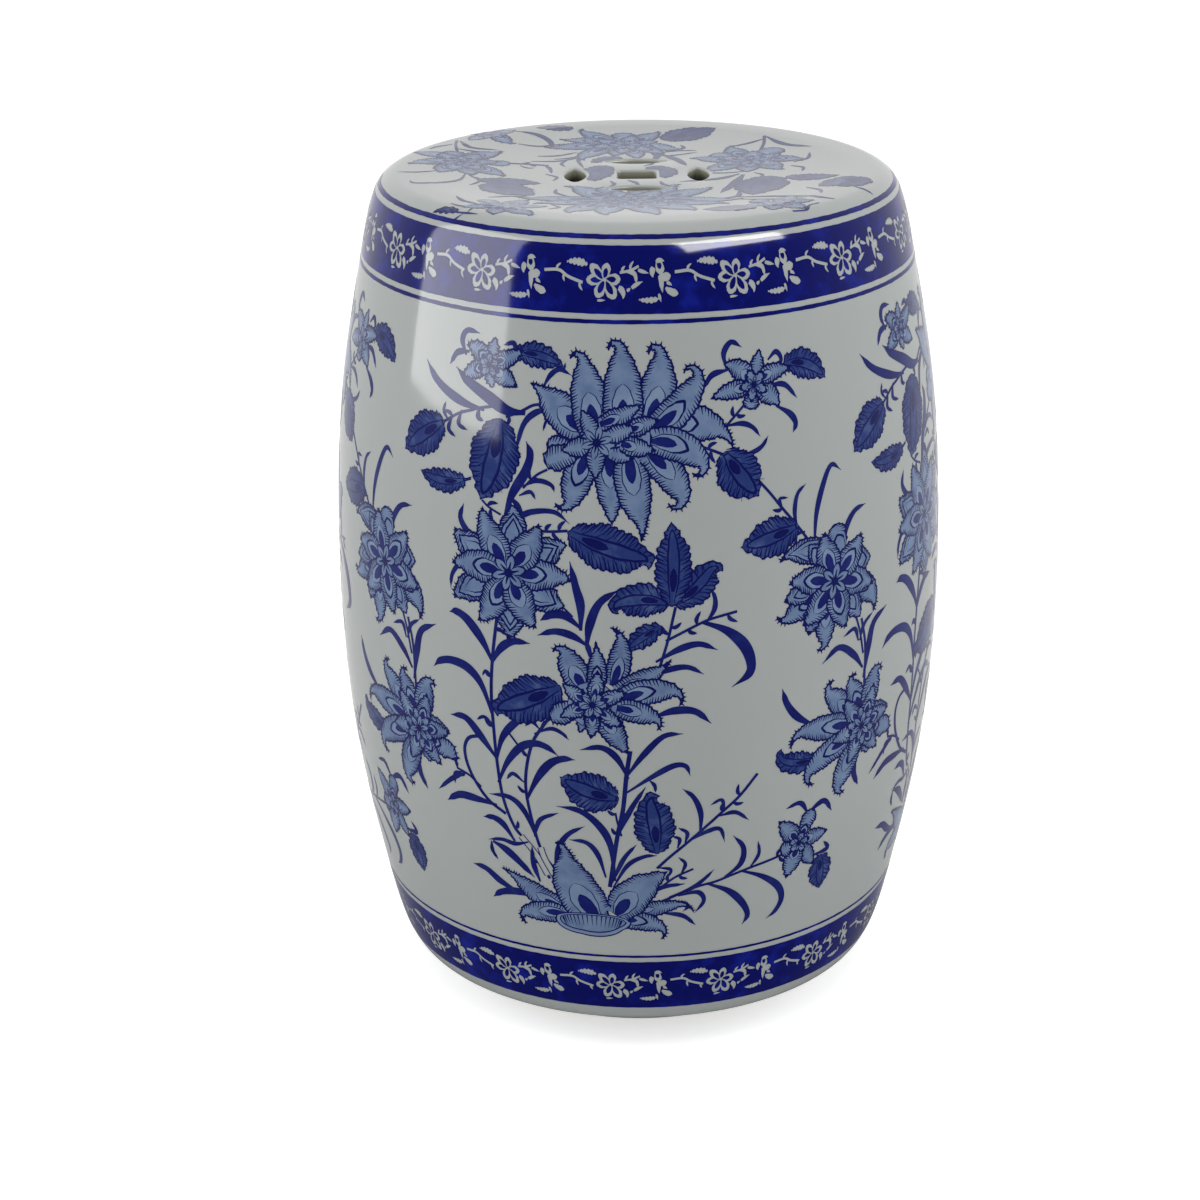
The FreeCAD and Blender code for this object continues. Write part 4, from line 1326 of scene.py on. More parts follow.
SEAT_STEMS = (
    # round the back flower
    Blade((-66+96j, -54+90j, -47+78j, -45+64j), 4.4), Blade((-64+70j, -52+67j, -38+74j), 2.2),
    Blade((-53+45j, -42+47j, -31+56j), 2.4), Blade((-56+33j, -42+34j, -28+44j), 2.4),
    Blade((-44+38j, -35+42j, -28+50j), 2.0), Blade((-29+52j, -31+36j, -28+16j), 2.2),
    Blade((-37+36j, -40+28j, -38+20j), 2.0), Blade((8+56j, 12+46j, 9+33j), 4.6),
    Blade((14+50j, 22+36j, 27+20j), 5.0), Blade((10+52j, 22+57j, 34+57j), 2.4),
    Blade((13+45j, 22+47j, 34+53j), 2.2), Blade((4+20j, 9+26j, 10+36j), 2.0),
    Blade((22+60j, 27+64j, 25+70j), 2.0),
    # round the left flower
    Twig((-98+72j, -98+58j, -96+42j), 1.6), Blade((-96+70j, -90+57j, -74+55j), 3.2),
    Blade((-97+52j, -86+49j, -74+50j), 2.4), Blade((-100+62j, -108+56j, -112+50j), 2.2),
    Twig((-70+27j, -58+26j, -47+23j), 2.6, (0.4, -0.6)), Blade((-49+24j, -46+16j, -45+4j), 2.4),
    Blade((-62+22j, -58+17j, -54+17j), 1.8), Blade((-106-2j, -114-8j, -126-7j), 2.2),
    Blade((-90-2j, -93-20j, -105-33j, -115-34j, -118-28j), 2.6),
    Blade((-88-6j, -82-18j, -87-32j), 2.4), Blade((-84-10j, -76-26j, -80-37j), 2.0),
    Blade((-76-62j, -66-56j, -55-54j), 2.2), Blade((-48+2j, -42-6j, -44-14j), 2.0),
    # round the right flower
    Twig((72+80j, 71+66j, 68+50j), 1.8), Blade((73+78j, 82+60j, 96+50j), 4.0),
    Blade((71+74j, 62+67j, 52+62j), 2.6), Blade((84+20j, 92+26j, 94+38j), 2.4),
    Blade((82+12j, 88+6j, 87-3j), 2.2), Blade((54-2j, 42-13j, 22-19j), 4.0),
    Blade((56-4j, 50-26j, 42-47j), 5.4), Blade((57+4j, 46+1j, 34+2j), 2.2),
    Blade((62+0j, 66-6j, 64-14j), 2.0), Blade((50-60j, 74-66j, 103-83j), 3.6),
    Blade((50-66j, 66-72j, 84-76j), 2.6), Blade((52-42j, 50-58j, 38-64j), 3.2),
    Blade((86-46j, 92-56j, 92-66j), 2.4), Blade((110-52j, 114-57j, 119-60j), 2.2),
    # at the front
    Blade((-92-66j, -88-76j, -80-84j), 2.4), Blade((-94-82j, -88-88j, -80-90j), 2.2),
    Leaf(-90-95j, -103-86j, 5, 0.4), Blade((-80-102j, -86-98j, -93-93j), 1.6),
    Blade((-87-98j, -92-99j, -96-96j), 1.2), Blade((-85-98j, -83-93j, -86-90j), 1.2),
    Twig((75-104j, 82-100j, 84-93j, 89-88j), 1.5, (0.5,)), Blade((-44-76j, -40-84j, -46-92j), 2.0),
    Blade((-36-52j, -42-44j, -42-34j), 2.4), Blade((-5-14j, -1-20j, 1-30j), 2.6),
    Blade((-14-16j, -12-24j, -16-32j), 2.2), Blade((12-18j, 14-26j, 22-32j), 2.4),
)

SEAT_LEAVES = (
    Leaf(16+81j, 46+101j, 24, -0.1), Leaf(-34+103j, -55+105j, 12, 0.2), Leaf(-8+44j, -24+30j, 12, 0.1),
    Leaf(-16+22j, -22-16j, 19, 0.25), Leaf(9+20j, 15-10j, 17, -0.2), Leaf(-83-16j, -50-21j, 17, -0.1),
    Leaf(-78-24j, -53-51j, 26, 0.15), Leaf(70-10j, 58-56j, 28, 0.05), Leaf(78-13j, 105-22j, 15, 0.35),
    Leaf(120-36j, 92-46j, 25, 0.1), Leaf(58-94j, 31-93j, 18, -0.1),
)

SEAT_FLOWERS = (
    # back
    Bloom(-5+72j, (
        Petal(-14+80j, -29+101j, 14, 0.1, -1.2, H), Petal(-6+82j, -6+97j, 14, form=R),
        Petal(2+80j, 13+96j, 14, -0.2, 1.0, H), Petal(4+74j, 25+62j, 15, 0.2, 1.6, H),
        Petal(-16+72j, -46+65j, 16, 0.1, -0.8, H), Petal(-16+78j, -39+82j, 13, 0.2, -0.6, H),
        Petal(-16+64j, -29+40j, 14, 0.2, 1.0, H), Petal(-8+64j, -12+46j, 12),
        Petal(-2+64j, 1+38j, 12, -0.1), Petal(4+68j, 14+52j, 12, 0.2, -0.8, H),
    ), (Ring(6, 20, 12, 20, 0.25), Ring(6, 11, 6, 0, 0.2, eye=0)), 2.2, 14.0),
    Bloom(-80+86j, (
        Petal(-78+90j, -66+100j, 11), Petal(-76+86j, -68+71j, 12, 0.3, 1.4, H),
        Petal(-84+84j, -91+72j, 11), Petal(-84+90j, -92+98j, 11, eye=0),
    ), (Ring(5, 9, 6, 40, 0.2, eye=0),), 1.5, 5.0),
    # left and right
    Bloom(-93+24j, (
        Petal(-90+34j, -74+51j, 15, -0.2, 0.8, H), Petal(-96+34j, -100+46j, 13, form=R),
        Petal(-102+32j, -118+42j, 13, 0.2, -0.8, H), Petal(-104+22j, -119+14j, 14, 0, 0.6, H),
        Petal(-98+14j, -104-5j, 14, 0.1), Petal(-90+14j, -86-6j, 14, 0.1),
        Petal(-84+16j, -71-3j, 14, 0.2, -0.8, H), Petal(-82+26j, -67+26j, 13, form=R),
    ), (Ring(6, 21, 13, 10, 0.25, nested=1), Ring(6, 12, 7, 40, 0.2)), 2.2, 14.0),
    Bloom(61+30j, (
        Petal(58+40j, 53+62j, 14, -0.1, -0.8, H), Petal(66+40j, 79+53j, 16, form=R),
        Petal(72+32j, 88+24j, 14, -0.1, -1.0, H), Petal(68+22j, 76+6j, 14, 0, 0.8, H),
        Petal(60+20j, 58+2j, 14), Petal(52+22j, 38+7j, 15, 0.1, -0.8, H),
        Petal(50+32j, 32+38j, 15, 0, 1.0, H), Petal(52+38j, 42+48j, 13, form=R),
    ), (Ring(6, 21, 13, 25, 0.25, nested=1), Ring(6, 12, 7, 0, 0.2)), 2.2, 14.0),
    # front
    Bloom(-3-62j, (
        Petal(-18-54j, -34-29j, 17, 0.1, 1.0, H), Petal(-10-52j, -18-30j, 14, form=R),
        Petal(-2-50j, 4-31j, 14, form=R), Petal(8-52j, 19-28j, 15, 0, -0.8, H),
        Petal(14-56j, 36-36j, 16, -0.2, 1.0, H), Petal(-22-60j, -59-58j, 15, 0.1, -1.0, H),
        Petal(-20-66j, -50-73j, 15, 0, 0.8, H), Petal(16-62j, 49-66j, 15, -0.1, 1.0, H),
        Petal(14-68j, 42-76j, 14, 0.1, -0.8, H), Petal(-20-72j, -35-99j, 16, 0, 1.0, H),
        Petal(-12-74j, -17-105j, 15, 0.1, 0.6, H), Petal(-2-74j, 8-105j, 15, 0.1, -0.6, H),
        Petal(8-72j, 26-92j, 17, 0, -0.8, H),
    ), (Ring(7, 26, 14, 10, 0.25), Ring(6, 15, 8, 40, 0.2)), 2.4, 19.0),
    Bloom(-68-87j, (
        Petal(-66-82j, -57-66j, 12, 0.2, -0.8, H), Petal(-72-82j, -78-70j, 11, form=R),
        Petal(-74-88j, -88-90j, 11), Petal(-70-93j, -72-106j, 11),
        Petal(-64-92j, -54-108j, 12, 0.2, -1.6, H),
        Petal(-62-86j, -47-82j, 11, 0, 0.8, H),
    ), (Ring(5, 9, 6, 0, 0.2, eye=0),), 1.6, 6.0),
    Bloom(68-85j, (
        Petal(70-80j, 78-68j, 12, 0.2, -0.8, H), Petal(64-80j, 57-72j, 11, form=R),
        Petal(62-86j, 52-90j, 11), Petal(67-91j, 65-103j, 11), Petal(73-90j, 82-98j, 12, 0.2, 0.8, H),
        Petal(74-84j, 86-82j, 11, 0, 0.8, H),
    ), (Ring(5, 9, 6, 0, 0.2, eye=0),), 1.6, 6.0),
)


@dataclass(frozen=True)
class WallShape:
    """Section of the drum's wall, in millimetres. Its widest line and its top come from the frame."""

    belly_radius: float
    top: float
    thickness: float = 8.5
    lip: Point = (100.0, 3.6)
    rim_inset: float = 29.6
    rim_drop: float = 5.0
    step_radius: float = 127.9
    ledge_radius: float = 118.9
    seat_underside: float = 445.2
    ledge_bottom: float = 437.2
    root: Point = (137.7, 413.0)
    floor_edge: Point = (98.5, 14.5)
    collar_radius: float = 91.0
    bevel_top: float = 6.6
    foot_joint: Point = (99.0, 3.6)
    spacing: tuple[float, ...] = (0.0, 18.0, 70.0, 200.0, 330.0, 430.0, 465.0)
    degree: int = 3

    @property
    def rim(self) -> Point:
        """Outer edge of the joint of seat and wall."""
        return self.belly_radius - self.rim_inset, self.top - self.rim_drop

    def control(self) -> list[Point]:
        """Control points of the skin, from the lip up to the rim."""
        belly, top = self.belly_radius, self.top
        return [
            self.lip, (belly - 38.9, 19.65), (belly - 29.7, 19.2), (belly - 12.75, 94.1),
            (belly + 1.93, 174.8), (belly - 0.35, top - 134.5), (belly - 12.95, top - 68.7),
            (belly - 25.0, top - 9.35), self.rim,
        ]

    def skin(self, count: int) -> list[Point]:
        """Points along the skin, from the lip up to the rim."""
        poles = [Vector(point) for point in self.control()]
        ends = self.degree
        knots = [self.spacing[0]] * ends + list(self.spacing) + [self.spacing[-1]] * ends
        points = []
        for number in range(count + 1):
            where = self.spacing[-1] * number / count
            span = max(index for index in range(ends, len(poles)) if knots[index] <= where)
            near = [poles[index] for index in range(span - ends, span + 1)]
            for level in range(1, ends + 1):
                for index in range(ends, level - 1, -1):
                    first = knots[span - ends + index]
                    share = (where - first) / (knots[span + 1 + index - level] - first)
                    near[index] = near[index - 1].lerp(near[index], share)
            points.append(tuple(near[ends]))
        return points

    def section(self, count: int) -> list[Point]:
        """The wall's closed section: up the skin, over the stepped rim and down the inside."""
        skin = self.skin(count)
        inside = []
        for before, here, after in zip(skin, skin[1:], skin[2:]):
            along = (Vector(after) - Vector(before)).normalized()
            point = (here[0] - along.y * self.thickness, here[1] + along.x * self.thickness)
            if point[1] < self.root[1] and point[0] > self.floor_edge[0] + self.thickness:
                inside.append(point)
        return [
            *skin, (self.step_radius, self.rim[1]), (self.step_radius, self.seat_underside),
            (self.ledge_radius, self.seat_underside), (self.ledge_radius, self.ledge_bottom), self.root,
            *reversed(inside), self.floor_edge, (self.collar_radius, self.floor_edge[1]),
            (self.collar_radius, self.bevel_top), self.foot_joint, self.lip,
        ]


@dataclass(frozen=True)
class SeatShape:
    """Section of the seat and plan of its piercing, in millimetres."""

    top: float
    rim: Point
    field_radius: float = 45.0
    dish: float = 4.0
    border: float = 12.0
    edge_radius: float = 14.2
    underside: float = 445.2
    step_radius: float = 127.9
    square: float = 20.0
    square_corner: float = 2.0
    slot_length: float = 34.0
    slot_width: float = 11.0
    slot_tip: float = 1.0
    slot_circle: float = 32.5
    slots: int = 4
    softness: float = 1.5

    @property
    def flat_radius(self) -> float:
        """Where the rounded edge starts."""
        drop = self.edge_radius - (self.top - self.rim[1])
        return self.rim[0] - math.sqrt(self.edge_radius ** 2 - drop ** 2)

    @property
    def dish_radius(self) -> float:
        """Where the flat border starts."""
        return self.flat_radius - self.border

    def height(self, radius: float) -> float:
        """Height of the top at a distance from the axis."""
        if radius <= self.field_radius:
            return self.top - self.dish
        if radius < self.dish_radius:
            slope = self.dish_radius - self.field_radius
            sweep = (slope ** 2 + self.dish ** 2) / (2 * self.dish)
            rise = math.sqrt(sweep ** 2 - (radius - self.field_radius) ** 2)
            return self.top - self.dish + sweep - rise
        if radius <= self.flat_radius:
            return self.top
        drop = math.sqrt(self.edge_radius ** 2 - (radius - self.flat_radius) ** 2)
        return self.top - self.edge_radius + drop

    def lay(self, flat: np.ndarray) -> np.ndarray:
        """Places on the seat, in metres, for places on its plan."""
        heights = np.array([self.height(radius) for radius in np.abs(flat).tolist()])
        return np.stack([flat.real, flat.imag, heights + FILM_LIFT], -1) * MM

    def shade(self, mesh: bpy.types.Mesh) -> None:
        """Give a laid film the seat's own normals."""
        normals = []
        for vertex in mesh.vertices:
            radius = math.hypot(vertex.co.x, vertex.co.y) / MM
            lean = (self.height(radius + 0.1) - self.height(radius - 0.1)) / 0.2
            out = -lean / max(radius * MM, 1e-6)
            normals.append(Vector((vertex.co.x * out, vertex.co.y * out, 1.0)).normalized())
        mesh.normals_split_custom_set_from_vertices(normals)

    def edge(self, steps: int = 16) -> list[Point]:
        """The rounded edge, from the flat border down to the rim."""
        turn = math.asin((self.rim[0] - self.flat_radius) / self.edge_radius)
        turns = [turn * step / steps for step in range(steps + 1)]
        return [
            (self.flat_radius + self.edge_radius * math.sin(turn),
             self.top - self.edge_radius * (1 - math.cos(turn)))
            for turn in turns
        ]

    def section(self, dish_steps: int = 24, edge_steps: int = 16) -> list[Point]:
        """Open section from the coin field over the edge to the underside."""
        slope = self.dish_radius - self.field_radius
        radii = [self.field_radius + slope * step / dish_steps for step in range(dish_steps + 1)]
        top = [(radius, self.height(radius)) for radius in radii]
        return [
            *top, *self.edge(edge_steps), (self.step_radius, self.rim[1]),
            (self.step_radius, self.underside), (self.field_radius, self.underside),
        ]

    def holes(self) -> list[list[tuple[Vector, Vector]]]:
        """Outline of each hole as points with the direction out of the hole, counter-clockwise."""
        half = self.square / 2 - self.square_corner
        corners = []
        for quarter in range(4):
            middle = Matrix.Rotation(quarter * math.pi / 2, 2) @ Vector((half, half))
            corners += self._round(middle, self.square_corner, quarter * math.pi / 2, math.pi / 2, 6)
        outlines = [corners]
        bow = (self.slot_length ** 2 + self.slot_width ** 2) / (4 * self.slot_width)
        inset = bow - self.slot_width / 2
        tip = math.sqrt((bow - self.slot_tip) ** 2 - inset ** 2)
        lean = math.atan2(tip, inset)
        lens = []
        for side in (0.0, math.pi):
            across = Vector((math.cos(side), math.sin(side)))
            lens += self._round(-inset * across, bow, side - lean, 2 * lean, 24)
            end = Vector((0.0, tip if side == 0 else -tip))
            lens += self._round(end, self.slot_tip, side + lean, math.pi - 2 * lean, 6)
        for number in range(self.slots):
            turn = Matrix.Rotation(number * FULL_TURN / self.slots, 2)
            shift = Vector((self.slot_circle, 0.0))
            outlines.append([(turn @ (point + shift), turn @ away) for point, away in lens])
        return outlines

    @staticmethod
    def _round(centre: Vector, radius: float, start: float, sweep: float,
               steps: int) -> list[tuple[Vector, Vector]]:
        """Points of an arc with their outward directions."""
        turns = [start + sweep * step / steps for step in range(steps + 1)]
        rays = [Vector((math.cos(turn), math.sin(turn))) for turn in turns]
        return [(centre + ray * radius, ray) for ray in rays]


@dataclass
class Outside:
    """The turned outside that the painting lies on, as a row of (radius, height) going up."""

    profile: Sequence[Point]

    def __post_init__(self) -> None:
        """Keep the row as arrays, with the lean of each place."""
        self.radii, self.heights = np.array(self.profile).T
        self.leans = np.gradient(self.radii, self.heights)

    def normals(self, turn: np.ndarray, height: np.ndarray) -> np.ndarray:
        """Directions straight out of the wall, one row each."""
        lean = np.interp(height, self.heights, self.leans)
        length = np.sqrt(1 + lean ** 2)
        return np.stack([np.sin(turn) / length, -np.cos(turn) / length, -lean / length], -1)

    def lay(self, flat: np.ndarray) -> np.ndarray:
        """Places on the wall.

        Args:
            flat: places on the unrolled sheet, in millimetres along and up.

        Returns:
            Places in metres, one row each.
        """
        turn, height = flat.real / DRAWING_RADIUS, flat.imag
        radius = np.interp(height, self.heights, self.radii)
        skin = np.stack([radius * np.sin(turn), -radius * np.cos(turn), height], -1)
        return (skin + self.normals(turn, height) * FILM_LIFT) * MM

    def shade(self, mesh: bpy.types.Mesh) -> None:
        """Give a laid film the wall's own normals."""
        where = np.empty(len(mesh.vertices) * 3, np.float32)
        mesh.vertices.foreach_get("co", where)
        across, deep, height = where.reshape(-1, 3).T
        mesh.normals_split_custom_set_from_vertices(
            self.normals(np.arctan2(across, -deep), height / MM).tolist())


class NodeGroup(Nodes):
    """A geometry tree being built, with named inputs."""

    def __init__(self, name: str, inputs: dict[str, str]) -> None:
        """Start a tree that takes a geometry and the given inputs, each a label and a kind such as Int."""
        super().__init__(bpy.data.node_groups.new(name, "GeometryNodeTree"))
        face = self.tree.interface
        for label, kind in {"Geometry": "Geometry", **inputs}.items():
            face.new_socket(label, in_out="INPUT", socket_type="NodeSocket" + kind)
        face.new_socket("Geometry", in_out="OUTPUT", socket_type="NodeSocketGeometry")
        self.source = self.tree.nodes.new("NodeGroupInput")

    def given(self, label: str) -> Socket:
        """One of the tree's inputs."""
        return Socket(self, self.source.outputs[label])

    def store(self, form: Socket, name: str, value: Socket, kind: str, domain: str) -> Socket:
        """Keep a value on the geometry under a name."""
        return self.add("GeometryNodeStoreNamedAttribute", {"data_type": kind, "domain": domain}, {
            "Geometry": form, "Name": name, "Value": value})

    def stored(self, name: str, kind: str = "FLOAT") -> Socket:
        """A value kept under a name."""
        return self.add("GeometryNodeInputNamedAttribute", {"data_type": kind}, {"Name": name})

    def dressed(self, form: Socket, label: str, **chosen: Socket) -> Socket:
        """The geometry in the material that an input gives, all of it or the chosen Selection."""
        return self.add("GeometryNodeSetMaterial", {}, {
            "Geometry": form, "Material": self.given(label), **chosen})

    def finish(self, result: Socket) -> bpy.types.NodeTree:
        """Send the result out."""
        self.add("NodeGroupOutput", {}, {0: result})
        return self.tree


def turning_tree() -> bpy.types.NodeTree:
    """Tree that turns a section, given as a row of points, once round the axis.

    Returns:
        The tree. Rows from Bare From on, and before Bare To, get the Bare Material.
    """
    group = NodeGroup("turned_form", {
        "Segments": "Int", "Bare From": "Float", "Bare To": "Float", "Sharp Angle": "Float",
        "Material": "Material", "Bare Material": "Material",
    })
    section, segments = group.given("Geometry"), group.given("Segments")
    rows = group.add("GeometryNodeAttributeDomainSize", {"component": "MESH"}, {0: section})
    sheet = group.add("GeometryNodeMeshGrid", {}, {"Vertices X": segments + 1.0, "Vertices Y": rows})
    index = group.add("GeometryNodeInputIndex", {}, {})
    row = index % rows
    angle = group.maths("FLOOR", index / rows) / segments * FULL_TURN
    where = group.add("GeometryNodeInputPosition", {}, {})
    point = group.add(
        "GeometryNodeSampleIndex", {"data_type": "FLOAT_VECTOR"}, {0: section, "Value": where, "Index": row})
    turned = group.add(
        "ShaderNodeVectorRotate", {"rotation_type": "Z_AXIS"}, {"Vector": point, "Angle": angle})
    form = group.add("GeometryNodeSetPosition", {}, {0: sheet, "Position": turned})
    form = group.store(form, UV_NAME, sheet.beside("UV Map"), "FLOAT2", "CORNER")
    form = group.store(form, "row", row, "FLOAT", "POINT")
    form = group.add("GeometryNodeMergeByDistance", {}, {"Geometry": form, "Distance": WELD})
    sharp = group.add("GeometryNodeInputMeshEdgeAngle", {}, {}).above(group.given("Sharp Angle"))
    form = group.add("GeometryNodeSetShadeSmooth", {"domain": "FACE"}, {
        "Geometry": form, "Shade Smooth": True})
    form = group.add("GeometryNodeSetShadeSmooth", {"domain": "EDGE"}, {
        "Geometry": form, "Selection": sharp, "Shade Smooth": False})
    form = group.add("GeometryNodeRealizeInstances", {}, {0: form})
    form = group.dressed(form, "Material")
    stored = group.stored("row")
    bare = stored.above(group.given("Bare From")) * group.maths("LESS_THAN", stored, group.given("Bare To"))
    return group.finish(group.dressed(form, "Bare Material", Selection=bare))


def repeating_tree() -> bpy.types.NodeTree:
    """Tree that sets copies of one painted unit side by side round the axis.

    Returns:
        The tree. The first copy is turned by Start. Map Columns says how many copies stand side by side
        in the UV map.
    """
    group = NodeGroup("units_round_the_wall", {
        "Count": "Int", "Start": "Float", "Map Columns": "Float", "Weld": "Float", "Material": "Material",
    })
    count, columns = group.given("Count"), group.given("Map Columns")
    points = group.add("GeometryNodePoints", {}, {"Count": count})
    index = group.add("GeometryNodeInputIndex", {}, {})
    step = group.maths("DIVIDE", FULL_TURN, count)
    angle = group.maths("MULTIPLY_ADD", index, step, group.given("Start"))
    turn = group.add("ShaderNodeCombineXYZ", {}, {"Z": angle})
    units = group.add("GeometryNodeInstanceOnPoints", {}, {
        "Points": points, "Instance": group.given("Geometry"), "Rotation": turn})
    units = group.store(units, "unit", index, "FLOAT", "INSTANCE")
    units = group.add("GeometryNodeRealizeInstances", {}, {0: units})
    unit = group.stored("unit")
    row = group.maths("FLOOR", unit / columns)
    cell = group.add("ShaderNodeCombineXYZ", {}, {"X": unit % columns, "Y": row})
    spot = group.stored(UV_NAME, "FLOAT_VECTOR")
    spot = group.add("ShaderNodeVectorMath", {"operation": "ADD"}, {0: spot, 1: cell})
    spot = group.add("ShaderNodeVectorMath", {"operation": "DIVIDE"}, {0: spot, 1: columns})
    units = group.store(units, UV_NAME, spot, "FLOAT2", "CORNER")
    units = group.add("GeometryNodeMergeByDistance", {}, {
        "Geometry": units, "Distance": group.given("Weld")})
    return group.finish(group.dressed(units, "Material"))


def apply_tree(name: str, mesh: bpy.types.Mesh, tree: bpy.types.NodeTree,
               values: dict[str, Any]) -> bpy.types.Object:
    """Run a tree on a mesh and keep the result as a plain piece.

    Args:
        name: the piece's name.
        mesh: what the tree starts from.
        tree: the tree.
        values: a value for each of its named inputs.

    Returns:
        The piece, without modifiers.
    """
    draft = bpy.data.objects.new(name + "_draft", mesh)
    bpy.context.scene.collection.objects.link(draft)
    modifier = draft.modifiers.new("form", "NODES")
    modifier.node_group = tree
    for item in tree.interface.items_tree:
        if item.item_type == "SOCKET" and item.in_out == "INPUT" and item.name in values:
            modifier[item.identifier] = values[item.name]
    scene_state = bpy.context.evaluated_depsgraph_get()
    ready = draft.evaluated_get(scene_state)
    plain = bpy.data.meshes.new_from_object(ready, preserve_all_data_layers=True, depsgraph=scene_state)
    plain.name = name
    bpy.data.objects.remove(draft)
    drop_empty_slots(plain)
    return add_piece(name, plain)


def drop_empty_slots(mesh: bpy.types.Mesh) -> None:
    """Keep only the material slots that faces use."""
    slots = np.empty(len(mesh.polygons), np.int32)
    mesh.polygons.foreach_get("material_index", slots)
    used, places = np.unique(slots, return_inverse=True)
    kept = [mesh.materials[int(index)] for index in used]
    mesh.materials.clear()
    for material in kept:
        mesh.materials.append(material)
    mesh.polygons.foreach_set("material_index", places.astype(np.int32))


def add_piece(name: str, mesh: bpy.types.Mesh) -> bpy.types.Object:
    """Put a mesh into the scene as a piece."""
    piece = bpy.data.objects.new(name, mesh)
    bpy.context.scene.collection.objects.link(piece)
    LOG.info("%s: %d faces", name, len(mesh.polygons))
    return piece


def row_mesh(name: str, points: Iterable[Point]) -> bpy.types.Mesh:
    """A section's points as a mesh of points in the XZ plane, in metres."""
    mesh = bpy.data.meshes.new(name)
    mesh.from_pydata([(radius * MM, 0.0, height * MM) for radius, height in points], [], [])
    return mesh


def face_outwards(mesh: bpy.types.Mesh) -> None:
    """Turn a closed shell's faces outwards."""
    shell = bmesh.new()
    shell.from_mesh(mesh)
    bmesh.ops.recalc_face_normals(shell, faces=shell.faces)
    shell.to_mesh(mesh)
    shell.free()


@dataclass
class Drum:
    """The wall's glazed skin and bare inside.

    The glaze ends some rows past the skin, on the ledge, and starts again at the lip.
    """

    shape: WallShape
    glaze: bpy.types.Material
    clay: bpy.types.Material
    turned: bpy.types.NodeTree
    segments: int = 256
    skin_steps: int = 150
    sharp_angle: float = 0.6
    glazed_rows: float = 5.5
    lip_rows: float = 1.2

    def build(self) -> bpy.types.Object:
        """Make the wall and let it stand for its solid."""
        section = self.shape.section(self.skin_steps)
        wall = apply_tree("wall_skin", row_mesh("wall_section", section), self.turned, {
            "Segments": self.segments, "Bare From": self.skin_steps + self.glazed_rows,
            "Bare To": len(section) - self.lip_rows, "Sharp Angle": self.sharp_angle,
            "Material": self.glaze, "Bare Material": self.clay,
        })
        face_outwards(wall.data)
        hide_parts("barrel_wall")
        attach(wall, BODY)
        return wall


